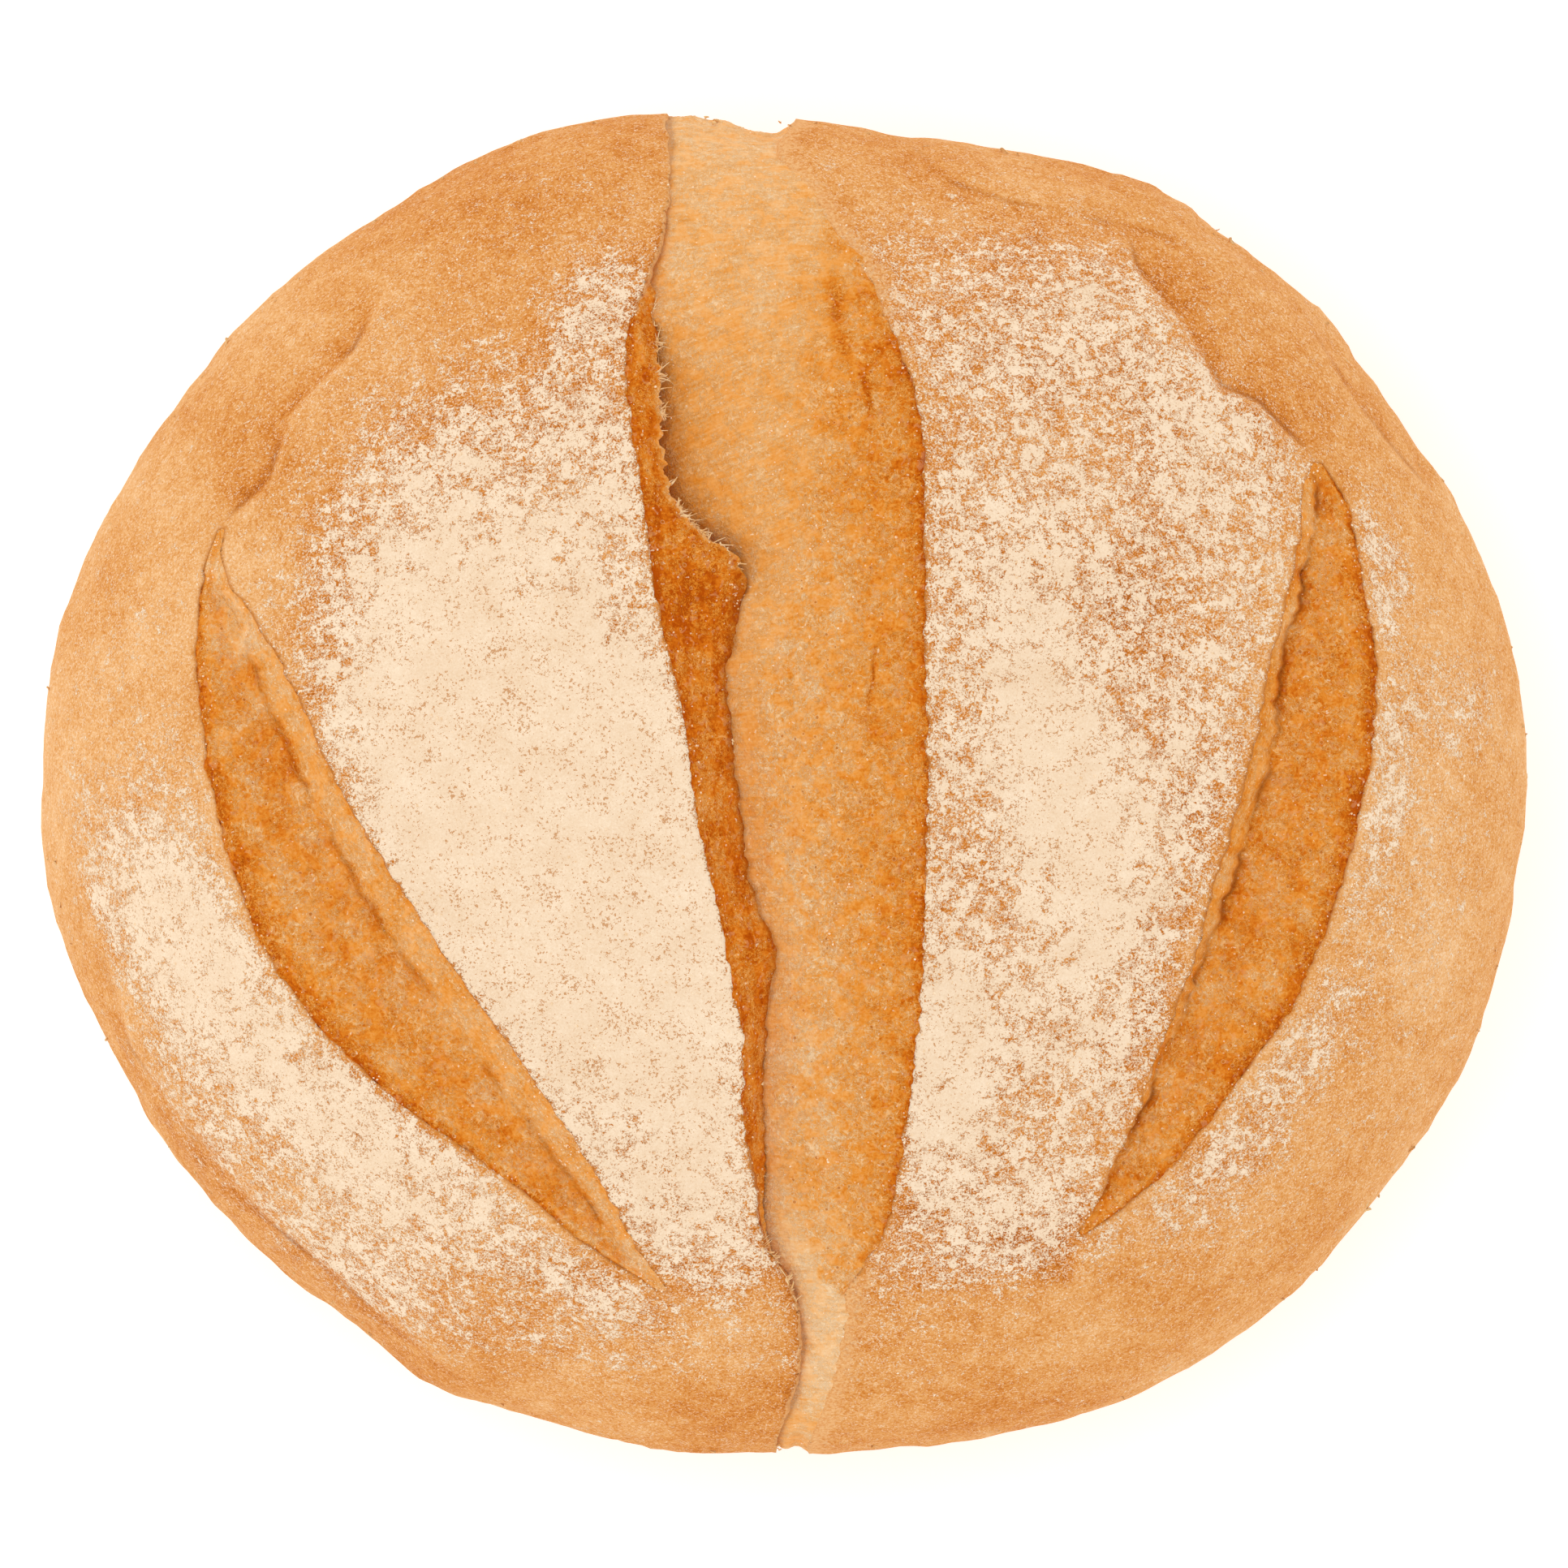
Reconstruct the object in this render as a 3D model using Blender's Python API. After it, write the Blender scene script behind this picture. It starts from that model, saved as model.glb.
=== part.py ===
"""A cob loaf: a round, hand-slashed loaf of white bread, baked on a flat sole.

The loaf is one solid. It starts as a ball of even faces and is pressed into the form of the loaf. Then the
three slashes that opened in the oven, the folds at their ends and the gentle lumps of the crust are raised
and sunk in it along its own normals. Its origin is at the middle of its base, with +Z up, +X along its
width, and +Y towards the end where the middle slash tore open. Plan positions are millimetres from there.
"""

import math

import bmesh
import bpy
import numpy as np
from mathutils import Matrix, Vector, noise

MM = 0.001

# Driving sizes, in millimetres
WIDTH = 205.0
DEPTH = 183.5
HEIGHT = 92.0
WAIST_HEIGHT = 34.0

# Form of the loaf: how square its outline is, how flat its crown is, and how far its sole reaches outwards
OUTLINE_SQUARENESS = 2.08
CROWN_FLATNESS = 2.2
UNDERSIDE_SQUARENESS = 5.0
SOLE_CUT = 1.25

# Where the outline swells or falls in: bearing and spread in degrees, anticlockwise from +X, and its size
OUTLINE_SWELLS = (
    (28.0, 10.0, -1.4),
    (50.0, 8.0, 1.6),
    (76.0, 7.0, -1.2),
    (110.0, 9.0, 2.4),
    (150.0, 13.0, -1.2),
    (212.0, 16.0, -1.5),
    (240.0, 4.0, 1.6),
    (262.0, 6.0, 0.9),
    (300.0, 13.0, 2.0),
)

# The slashes, from their +Y ends. A station is y, then x at the left lip, at the crack and at the right lip,
# then the depth of the crack
MIDDLE_SLASH = (
    (91.0, -16.0, -15.6, 1.4, 1.4),
    (86.5, -15.6, -15.2, -0.4, 1.6),
    (82.0, -15.7, -15.3, 3.0, 2.0),
    (76.0, -16.3, -15.9, 7.0, 2.6),
    (69.4, -18.2, -17.3, 11.8, 4.2),
    (62.0, -20.9, -17.5, 14.8, 6.2),
    (53.6, -21.0, -16.8, 17.9, 7.6),
    (45.9, -20.2, -16.3, 19.2, 8.6),
    (39.3, -19.2, -15.2, 19.4, 9.0),
    (34.5, -18.6, -11.4, 19.4, 8.0),
    (31.5, -18.2, -6.6, 19.4, 7.5),
    (22.9, -16.7, -5.7, 19.5, 8.0),
    (15.1, -14.8, -7.3, 19.6, 9.0),
    (-5.1, -11.6, -5.3, 19.6, 9.5),
    (-15.0, -9.4, -3.8, 19.5, 9.0),
    (-22.4, -7.6, -0.9, 19.2, 8.0),
    (-32.0, -5.9, -2.1, 18.6, 8.5),
    (-48.7, -4.9, -2.3, 16.5, 7.5),
    (-56.0, -3.6, -2.6, 15.2, 6.8),
    (-62.0, -2.8, -2.2, 13.2, 5.6),
    (-68.0, 0.6, 1.1, 9.4, 4.6),
    (-74.0, 2.4, 2.8, 8.4, 4.0),
    (-80.0, 2.2, 2.6, 7.3, 3.6),
    (-91.0, -1.0, -0.6, 3.4, 2.6),
)
LEFT_SLASH = (
    (35.0, -77.3, -76.9, -76.4, 0.5),
    (31.0, -78.7, -77.9, -76.9, 1.6),
    (27.6, -79.3, -77.2, -75.6, 3.0),
    (23.7, -80.0, -75.6, -72.8, 4.0),
    (16.8, -80.1, -73.0, -68.6, 5.0),
    (10.0, -79.5, -70.2, -65.2, 5.5),
    (-2.9, -77.5, -64.1, -59.1, 6.0),
    (-18.5, -72.7, -55.3, -49.0, 6.5),
    (-33.1, -63.2, -44.7, -38.9, 6.0),
    (-43.7, -52.0, -37.2, -31.5, 5.5),
    (-53.2, -38.5, -29.6, -25.3, 4.5),
    (-63.8, -25.1, -21.5, -19.2, 2.8),
    (-69.2, -17.0, -16.4, -15.6, 0.5),
)
RIGHT_SLASH = (
    (44.0, 72.6, 73.1, 73.8, 0.5),
    (39.5, 70.9, 73.3, 76.6, 3.0),
    (34.1, 70.6, 72.8, 78.3, 4.5),
    (26.0, 68.9, 71.2, 79.8, 5.0),
    (17.3, 66.7, 68.9, 81.1, 5.5),
    (10.0, 65.1, 68.3, 81.0, 5.8),
    (3.9, 63.8, 67.0, 80.3, 6.0),
    (-3.0, 62.1, 64.4, 79.1, 6.0),
    (-10.7, 59.8, 62.7, 77.1, 6.0),
    (-17.5, 57.8, 60.4, 75.0, 5.8),
    (-24.1, 56.0, 57.6, 72.3, 5.5),
    (-30.0, 53.5, 55.3, 69.7, 5.0),
    (-37.5, 51.0, 51.9, 64.4, 4.5),
    (-45.0, 48.4, 49.1, 59.0, 3.6),
    (-52.1, 45.0, 45.5, 52.9, 2.8),
    (-57.0, 42.9, 43.3, 47.5, 2.0),
    (-61.6, 40.3, 40.6, 41.2, 0.5),
)

# Each slash, with the side of the crack that its wide floor of crumb is on. The floor steps down at its lip,
# is almost level, and rolls down into the crack
SLASHES = ((MIDDLE_SLASH, "right"), (LEFT_SLASH, "left"), (RIGHT_SLASH, "right"))
FLOOR_SINK_SHARE = 0.22
FLOOR_ROLL = 3.5
FLOOR_EDGE = 8
LIP_RISE = 0.9
LIP_REACH = 5.0
TIP_WIDTH = 6.0
LINE_PULL = 0.7

# Relief goes out at the sides but nearly straight up on the crown, so that a line stays where it is drawn,
# seen from above: how nearly, and between which heights it changes
UPRIGHT = 0.85
UPRIGHT_FROM = 38.0
UPRIGHT_TO = 56.0

LEAN_STEP = 0.4
SIDE_FADE_START = 8.0
SIDE_FADE_END = 26.0

# Folds of the crust: the step across the fold, raised on the left of its line or, where it is less than
# nothing, on the right, how far it fades, and its line
FOLDS = (
    (-3.6, 8.0, ((-77.5, 34.5), (-70.0, 41.5), (-67.5, 50.5), (-58.5, 59.5), (-54.0, 69.0))),
    (-4.0, 8.0, ((46.6, 77.0), (48.4, 70.6), (54.9, 62.7), (59.8, 54.2), (64.8, 52.1), (73.0, 44.0))),
    (1.8, 6.0, ((16.6, 90.2), (23.7, 83.0), (31.0, 80.5), (46.5, 77.5), (60.0, 74.0))),
    (-2.2, 8.0, ((72.5, 63.2), (78.5, 52.3), (84.3, 45.6), (90.0, 39.3))),
    (
        3.0, 8.0,
        ((-94.5, -20.0), (-89.5, -36.0), (-82.3, -46.3), (-71.4, -58.8), (-54.0, -73.5), (-40.8, -84.5)),
    ),
    (-2.4, 4.0, ((39.5, -69.0), (40.0, -63.0), (43.5, -61.5))),
)
FOLD_SHARPNESS = 1.0
FOLD_END_SHARE = 0.2
FOLD_POINTS = 60

# Gentle lumps all over the dough
LUMP_HEIGHT = 0.9
LUMP_SIZE = 26.0

BALL_CUTS = 111
FACES_KEPT = 9800
SOLE_SNAP = 0.25
SHARP_ANGLE = math.radians(50.0)

CRUST_COLOUR = (0.73, 0.38, 0.14, 1.0)
CRUST_ROUGHNESS = 0.75


def smooth_step(low, high, values):
    """0 below low, 1 above high, and an even S between them."""
    share = np.clip((values - low) / (high - low), 0.0, 1.0)
    return share * share * (3.0 - 2.0 * share)


def smooth_line(stations, column, y):
    """A column of a slash's stations at each y, on a smooth curve through them."""
    knots = np.array(stations)[::-1]
    at, value = knots[:, 0], knots[:, column]
    slope = np.gradient(value, at)
    y = np.clip(y, at[0], at[-1])
    right = np.clip(np.searchsorted(at, y), 1, len(at) - 1)
    left = right - 1
    gap = at[right] - at[left]
    t = (y - at[left]) / gap
    return (
        (1 + 2 * t) * (1 - t) ** 2 * value[left]
        + t * (1 - t) ** 2 * gap * slope[left]
        + t * t * (3 - 2 * t) * value[right]
        + t * t * (t - 1) * gap * slope[right]
    )


def outline_scale(bearing):
    """How far the outline reaches at each bearing, in millimetres."""
    p = OUTLINE_SQUARENESS
    along = np.abs(np.cos(bearing) / (WIDTH / 2)) ** p
    across = np.abs(np.sin(bearing) / (DEPTH / 2)) ** p
    reach = (along + across) ** (-1 / p)
    degrees = np.degrees(bearing)
    for middle, spread, size in OUTLINE_SWELLS:
        off = (degrees - middle + 180.0) % 360.0 - 180.0
        reach = reach + size * np.exp(-0.5 * (off / spread) ** 2)
    return reach


def crown_height(share):
    """Height of the plain crown, from how far out a point is: 0 at the middle, and 1 at the waist."""
    return WAIST_HEIGHT + (HEIGHT - WAIST_HEIGHT) * np.sqrt(np.clip(1 - share**CROWN_FLATNESS, 0, 1))


def loaf_form(ball):
    """The plain loaf, without slashes or folds, from points on a unit ball."""
    bearing = np.arctan2(ball[:, 1], ball[:, 0])
    share = np.hypot(ball[:, 0], ball[:, 1])
    reach = outline_scale(bearing) * share
    above = crown_height(share)
    curve = np.sqrt(np.clip(1 - share**UNDERSIDE_SQUARENESS, 0, 1))
    below = np.maximum(0.0, WAIST_HEIGHT * (1 - SOLE_CUT * curve))
    height = np.where(ball[:, 2] >= 0, above, below)
    return np.column_stack((reach * np.cos(bearing), reach * np.sin(bearing), height))


def slash_relief(points, stations, floor_side):
    """How far one slash sinks or lifts each point."""
    x, y = points[:, 0], points[:, 1]
    left, crack, right, depth = (smooth_line(stations, column, y) for column in (1, 2, 3, 4))
    wall, floor = (right, left) if floor_side == "left" else (left, right)
    inside = (x > left) & (x < right)
    opened = smooth_step(0.0, TIP_WIDTH, right - left)

    wall_share = np.clip((x - wall) / (crack - wall), 0, 1)
    floor_share = np.clip((floor - x) / (floor - crack), 0, 1)
    on_wall = (x - crack) * (floor - crack) < 0
    step = FLOOR_SINK_SHARE * depth
    rolled = (depth - step) * floor_share**FLOOR_ROLL
    floor_sink = rolled + step * (1 - (1 - floor_share) ** FLOOR_EDGE)
    sunk = -opened * np.where(on_wall, depth * smooth_step(0.0, 1.0, wall_share), floor_sink)

    off = np.minimum(np.abs(x - left), np.abs(x - right))
    past_tip = np.maximum(y - stations[0][0], stations[-1][0] - y)
    lip = LIP_RISE * opened * np.exp(-off / LIP_REACH) * (1 - smooth_step(0.0, LIP_REACH, past_tip))
    relief = np.where(inside, sunk + lip * np.exp(-off), lip)
    return relief * smooth_step(SIDE_FADE_START, SIDE_FADE_END, points[:, 2])


def pull_to_lines(points, stations):
    """Moves points on the crown that are close to a lip or a crack onto it, so that its edge runs clean."""
    for column in (1, 3, 2):
        x, y = points[:, 0], points[:, 1]
        on_crown = (points[:, 2] > WAIST_HEIGHT) & (y < stations[0][0]) & (y > stations[-1][0])
        off = smooth_line(stations, column, y) - x
        ahead, behind = (smooth_line(stations, column, y + step) for step in (LEAN_STEP, -LEAN_STEP))
        lean = (ahead - behind) / (2 * LEAN_STEP)
        square = 1 + lean**2
        pulled = on_crown & (np.abs(off) < LINE_PULL * np.sqrt(square))
        points[:, 0] += np.where(pulled, off / square, 0.0)
        points[:, 1] -= np.where(pulled, off * lean / square, 0.0)
        bearing = np.arctan2(points[:, 1], points[:, 0])
        share = np.hypot(points[:, 0], points[:, 1]) / outline_scale(bearing)
        points[:, 2] = np.where(pulled, crown_height(share), points[:, 2])


def fold_relief(points, step, fade, line):
    """How far one fold of the crust lifts or sinks each point, with a step across its line."""
    knots = np.array(line)
    lengths = np.concatenate(([0.0], np.cumsum(np.linalg.norm(np.diff(knots, axis=0), axis=1))))
    along = np.linspace(0.0, lengths[-1], FOLD_POINTS)
    trace = np.column_stack([np.interp(along, lengths, knots[:, axis]) for axis in (0, 1)])
    direction = np.gradient(trace, axis=0)
    direction /= np.linalg.norm(direction, axis=1, keepdims=True)

    offset = points[:, None, :2] - trace[None]
    nearest = np.argmin((offset**2).sum(axis=2), axis=1)
    off = offset[np.arange(len(points)), nearest]
    heading = direction[nearest]
    side = heading[:, 0] * off[:, 1] - heading[:, 1] * off[:, 0]
    away = np.linalg.norm(off, axis=1)
    share = nearest / (len(trace) - 1)
    ends = smooth_step(0.0, FOLD_END_SHARE, share) * smooth_step(0.0, FOLD_END_SHARE, 1 - share)
    relief = 0.5 * step * np.tanh(side / FOLD_SHARPNESS) * np.exp(-away / fade) * ends
    return relief * smooth_step(SIDE_FADE_START, SIDE_FADE_END, points[:, 2])


def lump_relief(points):
    """Gentle unevenness of the risen dough, which stays off the sole."""
    lumps = np.array([noise.noise(Vector(point / LUMP_SIZE)) for point in points])
    return LUMP_HEIGHT * lumps * smooth_step(1.0, SIDE_FADE_START, points[:, 2])


def ball_of_even_faces():
    """A cube's faces cut into a grid and pushed out to a unit ball, so that no face is much larger."""
    ball = bmesh.new()
    bmesh.ops.create_cube(ball, size=2.0)
    bmesh.ops.subdivide_edges(ball, edges=ball.edges[:], cuts=BALL_CUTS, use_grid_fill=True)
    for vertex in ball.verts:
        vertex.co = Vector([math.tan(side * math.pi / 4) for side in vertex.co]).normalized()
    return ball


def points_of(mesh, name="co"):
    """A mesh's points, or its normals, as rows of three numbers."""
    source = mesh.vertices if name == "co" else mesh.vertex_normals
    values = np.empty(len(mesh.vertices) * 3, np.float32)
    source.foreach_get("co" if name == "co" else "vector", values)
    return values.reshape(-1, 3).astype(float)


def place_points(mesh, points):
    """Moves a mesh's points to the rows given."""
    mesh.vertices.foreach_set("co", points.astype(np.float32).ravel())
    mesh.update()


def crust_material():
    """Thin, floury, golden crust."""
    material = bpy.data.materials.new("crust")
    material.use_nodes = True
    shader = material.node_tree.nodes["Principled BSDF"]
    shader.inputs["Base Color"].default_value = CRUST_COLOUR
    shader.inputs["Roughness"].default_value = CRUST_ROUGHNESS
    shader.inputs["Metallic"].default_value = 0.0
    return material


def carve(mesh):
    """Presses the ball into the loaf, then opens the slashes and folds the crust."""
    place_points(mesh, loaf_form(points_of(mesh)))
    points, normals = points_of(mesh), points_of(mesh, "normal")
    relief = lump_relief(points)
    for stations, floor_side in SLASHES:
        pull_to_lines(points, stations)
        relief += slash_relief(points, stations, floor_side)
    for step, fade, line in FOLDS:
        relief += fold_relief(points, step, fade, line)
    normals[:, :2] *= 1 - UPRIGHT * smooth_step(UPRIGHT_FROM, UPRIGHT_TO, points[:, 2:])
    place_points(mesh, points + normals * relief[:, None])


def split_quads(mesh):
    """Splits each face across its shorter diagonal, which is the one that runs along a lip."""
    faces = bmesh.new()
    faces.from_mesh(mesh)
    bmesh.ops.triangulate(faces, faces=faces.faces[:], quad_method="SHORT_EDGE")
    faces.to_mesh(mesh)
    faces.free()


def thin_out(loaf):
    """Keeps the faces where the form needs them, and leaves the sole exactly flat."""
    decimate = loaf.modifiers.new("fewer faces", "DECIMATE")
    decimate.ratio = FACES_KEPT / len(loaf.data.polygons)
    decimate.use_collapse_triangulate = True
    bpy.context.view_layer.objects.active = loaf
    bpy.ops.object.modifier_apply(modifier=decimate.name)
    points = points_of(loaf.data)
    points[points[:, 2] < SOLE_SNAP, 2] = 0.0
    middle = (points.max(axis=0) + points.min(axis=0)) / 2
    middle[2] = 0.0
    place_points(loaf.data, points - middle)


def make_loaf():
    """The loaf as one named object, in metres."""
    ball = ball_of_even_faces()
    mesh = bpy.data.meshes.new("loaf")
    ball.to_mesh(mesh)
    ball.free()
    carve(mesh)
    split_quads(mesh)
    loaf = bpy.data.objects.new("loaf", mesh)
    bpy.context.scene.collection.objects.link(loaf)
    thin_out(loaf)
    loaf.data.transform(Matrix.Scale(MM, 4))
    loaf.data.materials.append(crust_material())
    loaf.data.shade_smooth()
    loaf.data.set_sharp_from_angle(angle=SHARP_ANGLE)
    return loaf


for old in list(bpy.data.objects):
    bpy.data.objects.remove(old, do_unlink=True)
make_loaf()
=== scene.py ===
# %% [markdown]
# # A cob loaf, dressed
#
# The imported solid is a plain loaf: the right form, but smooth. This script makes what the eye tastes: a thin
# golden crust, flour that was shaken over the dough and tore apart as it rose, and the open crumb in three
# slashes. Every piece is worked out from the same sizes as the solid, on far finer meshes.

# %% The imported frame
import math

import bpy
import numpy as np
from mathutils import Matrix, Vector, noise


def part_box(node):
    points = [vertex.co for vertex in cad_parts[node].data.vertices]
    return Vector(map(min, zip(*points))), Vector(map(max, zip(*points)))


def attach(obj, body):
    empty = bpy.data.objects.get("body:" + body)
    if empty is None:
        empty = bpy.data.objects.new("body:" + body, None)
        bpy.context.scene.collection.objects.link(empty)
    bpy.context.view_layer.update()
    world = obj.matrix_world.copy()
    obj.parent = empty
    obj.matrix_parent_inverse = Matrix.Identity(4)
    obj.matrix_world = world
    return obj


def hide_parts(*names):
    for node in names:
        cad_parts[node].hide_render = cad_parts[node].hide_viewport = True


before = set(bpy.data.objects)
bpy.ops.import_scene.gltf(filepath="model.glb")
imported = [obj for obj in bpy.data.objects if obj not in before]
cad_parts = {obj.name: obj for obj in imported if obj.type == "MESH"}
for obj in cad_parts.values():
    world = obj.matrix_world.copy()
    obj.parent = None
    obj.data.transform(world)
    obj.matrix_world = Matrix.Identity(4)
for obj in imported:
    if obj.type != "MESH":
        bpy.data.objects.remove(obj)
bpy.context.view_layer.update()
loaf_low, loaf_high = (np.array(corner) * 1000 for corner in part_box("loaf"))
rng = np.random.default_rng(7)
print("loaf in mm:", loaf_low.round(1), loaf_high.round(1))

# %% [markdown]
# ## The form of the dough
#
# A loaf like this has no straight line to measure, but it has a rule: an outline that reaches a certain way
# at each bearing, a crown that arches over it, and a base that the oven floor pressed flat. The rule takes a
# point of a unit ball and gives a point of the loaf, so anything that can be drawn on a ball can be laid on
# the loaf. Sizes are in millimetres, and they are the solid's own.

# %% Sizes of the loaf
WIDTH, DEPTH, HEIGHT, WAIST_HEIGHT = 205.0, 183.5, 92.0, 34.0
OUTLINE_SQUARENESS, CROWN_FLATNESS, UNDERSIDE_SQUARENESS, SOLE_CUT = 2.08, 2.2, 5.0, 1.25
OUTLINE_SWELLS = (
    (28.0, 10.0, -1.4), (50.0, 8.0, 1.6), (76.0, 7.0, -1.2), (110.0, 9.0, 2.4), (150.0, 13.0, -1.2),
    (212.0, 16.0, -1.5), (240.0, 4.0, 1.6), (262.0, 6.0, 0.9), (300.0, 13.0, 2.0),
)

# %% The plain loaf
def smooth_step(low, high, values):
    """0 below low, 1 above high, and an even S between them."""
    share = np.clip((values - low) / (high - low), 0.0, 1.0)
    return share * share * (3.0 - 2.0 * share)


def outline_scale(bearing):
    """How far the outline reaches at each bearing."""
    p = OUTLINE_SQUARENESS
    along = np.abs(np.cos(bearing) / (WIDTH / 2)) ** p
    across = np.abs(np.sin(bearing) / (DEPTH / 2)) ** p
    reach = (along + across) ** (-1 / p)
    for middle, spread, size in OUTLINE_SWELLS:
        off = (np.degrees(bearing) - middle + 180.0) % 360.0 - 180.0
        reach = reach + size * np.exp(-0.5 * (off / spread) ** 2)
    return reach


def crown_height(share):
    """Height of the plain crown, from 0 at the middle to 1 at the waist."""
    return WAIST_HEIGHT + (HEIGHT - WAIST_HEIGHT) * np.sqrt(np.clip(1 - share**CROWN_FLATNESS, 0, 1))


def loaf_form(ball):
    """The plain loaf, from points on a unit ball."""
    bearing = np.arctan2(ball[:, 1], ball[:, 0])
    share = np.hypot(ball[:, 0], ball[:, 1])
    reach = outline_scale(bearing) * share
    curve = np.sqrt(np.clip(1 - share**UNDERSIDE_SQUARENESS, 0, 1))
    below = np.maximum(0.0, WAIST_HEIGHT * (1 - SOLE_CUT * curve))
    height = np.where(ball[:, 2] >= 0, crown_height(share), below)
    return np.column_stack((reach * np.cos(bearing), reach * np.sin(bearing), height))


def ball_of_plan(x, y, above=True):
    """The ball's point that becomes the plan position x, y on the loaf."""
    bearing = np.arctan2(y, x)
    share = np.minimum(np.hypot(x, y) / outline_scale(bearing), 1.0)
    rise = np.sqrt(1 - share**2) * np.where(above, 1.0, -1.0)
    return np.column_stack((share * np.cos(bearing), share * np.sin(bearing), rise))


# How nearly upright relief is on the crown, and between which heights that changes
UPRIGHT, UPRIGHT_FROM, UPRIGHT_TO = 0.85, 38.0, 56.0


def form_and_normal(ball):
    """Points on the plain loaf, and the ways that relief goes: out at the sides, nearly straight up on top."""
    step = 0.004
    steady = np.where(np.abs(ball[:, 2:]) < 0.7, [[0.0, 0.0, 1.0]], [[1.0, 0.0, 0.0]])
    first = np.cross(steady, ball)
    first /= np.linalg.norm(first, axis=1, keepdims=True)
    second = np.cross(ball, first)
    ways = []
    for side in (first, second):
        ahead, behind = ball + step * side, ball - step * side
        ahead /= np.linalg.norm(ahead, axis=1, keepdims=True)
        behind /= np.linalg.norm(behind, axis=1, keepdims=True)
        ways.append(loaf_form(ahead) - loaf_form(behind))
    normal = np.cross(*ways)
    length = np.linalg.norm(normal, axis=1, keepdims=True)
    normal = np.where(length > 1e-9, normal / np.maximum(length, 1e-9), [[0.0, 0.0, -1.0]])
    form = loaf_form(ball)
    normal[:, :2] *= 1 - UPRIGHT * smooth_step(UPRIGHT_FROM, UPRIGHT_TO, form[:, 2:])
    return form, normal


print("outline reaches", outline_scale(np.radians([0, 90, 180, 270])).round(1), "mm")

# %% [markdown]
# ## The slashes
#
# The baker drew a blade across the dough three times, and each cut opened in the oven. A station says where
# the left lip, the crack and the right lip are at one y, and how deep the crack is. A smooth curve through
# the stations gives the rest, and a little noise makes each lip as ragged as torn crust is.

# %% Stations of the slashes
MIDDLE = (
    (91.0, -16.0, -15.6, 1.4, 1.4), (86.5, -15.6, -15.2, -0.4, 1.6),
    (82.0, -15.7, -15.3, 3.0, 2.0), (76.0, -16.3, -15.9, 7.0, 2.6),
    (69.4, -18.2, -17.3, 11.8, 4.2), (62.0, -20.9, -17.5, 14.8, 6.2),
    (53.6, -21.0, -16.8, 17.9, 7.6), (45.9, -20.2, -16.3, 19.2, 8.6),
    (39.3, -19.2, -15.2, 19.4, 9.0), (34.5, -18.6, -11.4, 19.4, 8.0),
    (31.5, -18.2, -6.6, 19.4, 7.5), (22.9, -16.7, -5.7, 19.5, 8.0),
    (15.1, -14.8, -7.3, 19.6, 9.0), (-5.1, -11.6, -5.3, 19.6, 9.5),
    (-15.0, -9.4, -3.8, 19.5, 9.0), (-22.4, -7.6, -0.9, 19.2, 8.0),
    (-32.0, -5.9, -2.1, 18.6, 8.5), (-48.7, -4.9, -2.3, 16.5, 7.5),
    (-56.0, -3.6, -2.6, 15.2, 6.8), (-62.0, -2.8, -2.2, 13.2, 5.6),
    (-68.0, 0.6, 1.1, 9.4, 4.6), (-74.0, 2.4, 2.8, 8.4, 4.0),
    (-80.0, 2.2, 2.6, 7.3, 3.6), (-91.0, -1.0, -0.6, 3.4, 2.6),
)
LEFT = (
    (35.0, -77.3, -76.9, -76.4, 0.5), (31.0, -78.7, -77.9, -76.9, 1.6),
    (27.6, -79.3, -77.2, -75.6, 3.0), (23.7, -80.0, -75.6, -72.8, 4.0),
    (16.8, -80.1, -73.0, -68.6, 5.0), (10.0, -79.5, -70.2, -65.2, 5.5),
    (-2.9, -77.5, -64.1, -59.1, 6.0), (-18.5, -72.7, -55.3, -49.0, 6.5),
    (-33.1, -63.2, -44.7, -38.9, 6.0), (-43.7, -52.0, -37.2, -31.5, 5.5),
    (-53.2, -38.5, -29.6, -25.3, 4.5), (-63.8, -25.1, -21.5, -19.2, 2.8),
    (-69.2, -17.0, -16.4, -15.6, 0.5),
)
RIGHT = (
    (44.0, 72.6, 73.1, 73.8, 0.5), (39.5, 70.9, 73.3, 76.6, 3.0), (34.1, 70.6, 72.8, 78.3, 4.5),
    (26.0, 68.9, 71.2, 79.8, 5.0), (17.3, 66.7, 68.9, 81.1, 5.5), (10.0, 65.1, 68.3, 81.0, 5.8),
    (3.9, 63.8, 67.0, 80.3, 6.0), (-3.0, 62.1, 64.4, 79.1, 6.0), (-10.7, 59.8, 62.7, 77.1, 6.0),
    (-17.5, 57.8, 60.4, 75.0, 5.8), (-24.1, 56.0, 57.6, 72.3, 5.5), (-30.0, 53.5, 55.3, 69.7, 5.0),
    (-37.5, 51.0, 51.9, 64.4, 4.5), (-45.0, 48.4, 49.1, 59.0, 3.6), (-52.1, 45.0, 45.5, 52.9, 2.8),
    (-57.0, 42.9, 43.3, 47.5, 2.0), (-61.6, 40.3, 40.6, 41.2, 0.5),
)
SLASHES = ((MIDDLE, "right"), (LEFT, "left"), (RIGHT, "right"))
DEPTH_SHARE = 0.66
FLOOR_SINK_SHARE, FLOOR_ROLL, FLOOR_EDGE = 0.22, 3.5, 8
LIP_RISE, LIP_REACH, TIP_WIDTH = 0.8, 5.0, 5.0
SIDE_FADE_START, SIDE_FADE_END = 8.0, 26.0

# %% Lines through the stations
def rough(points, size, seed=0.0):
    """Smooth noise from -1 to 1 at each point, with waves of that size."""
    return np.array([noise.noise(Vector(p)) for p in (points / size + seed).tolist()])


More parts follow.
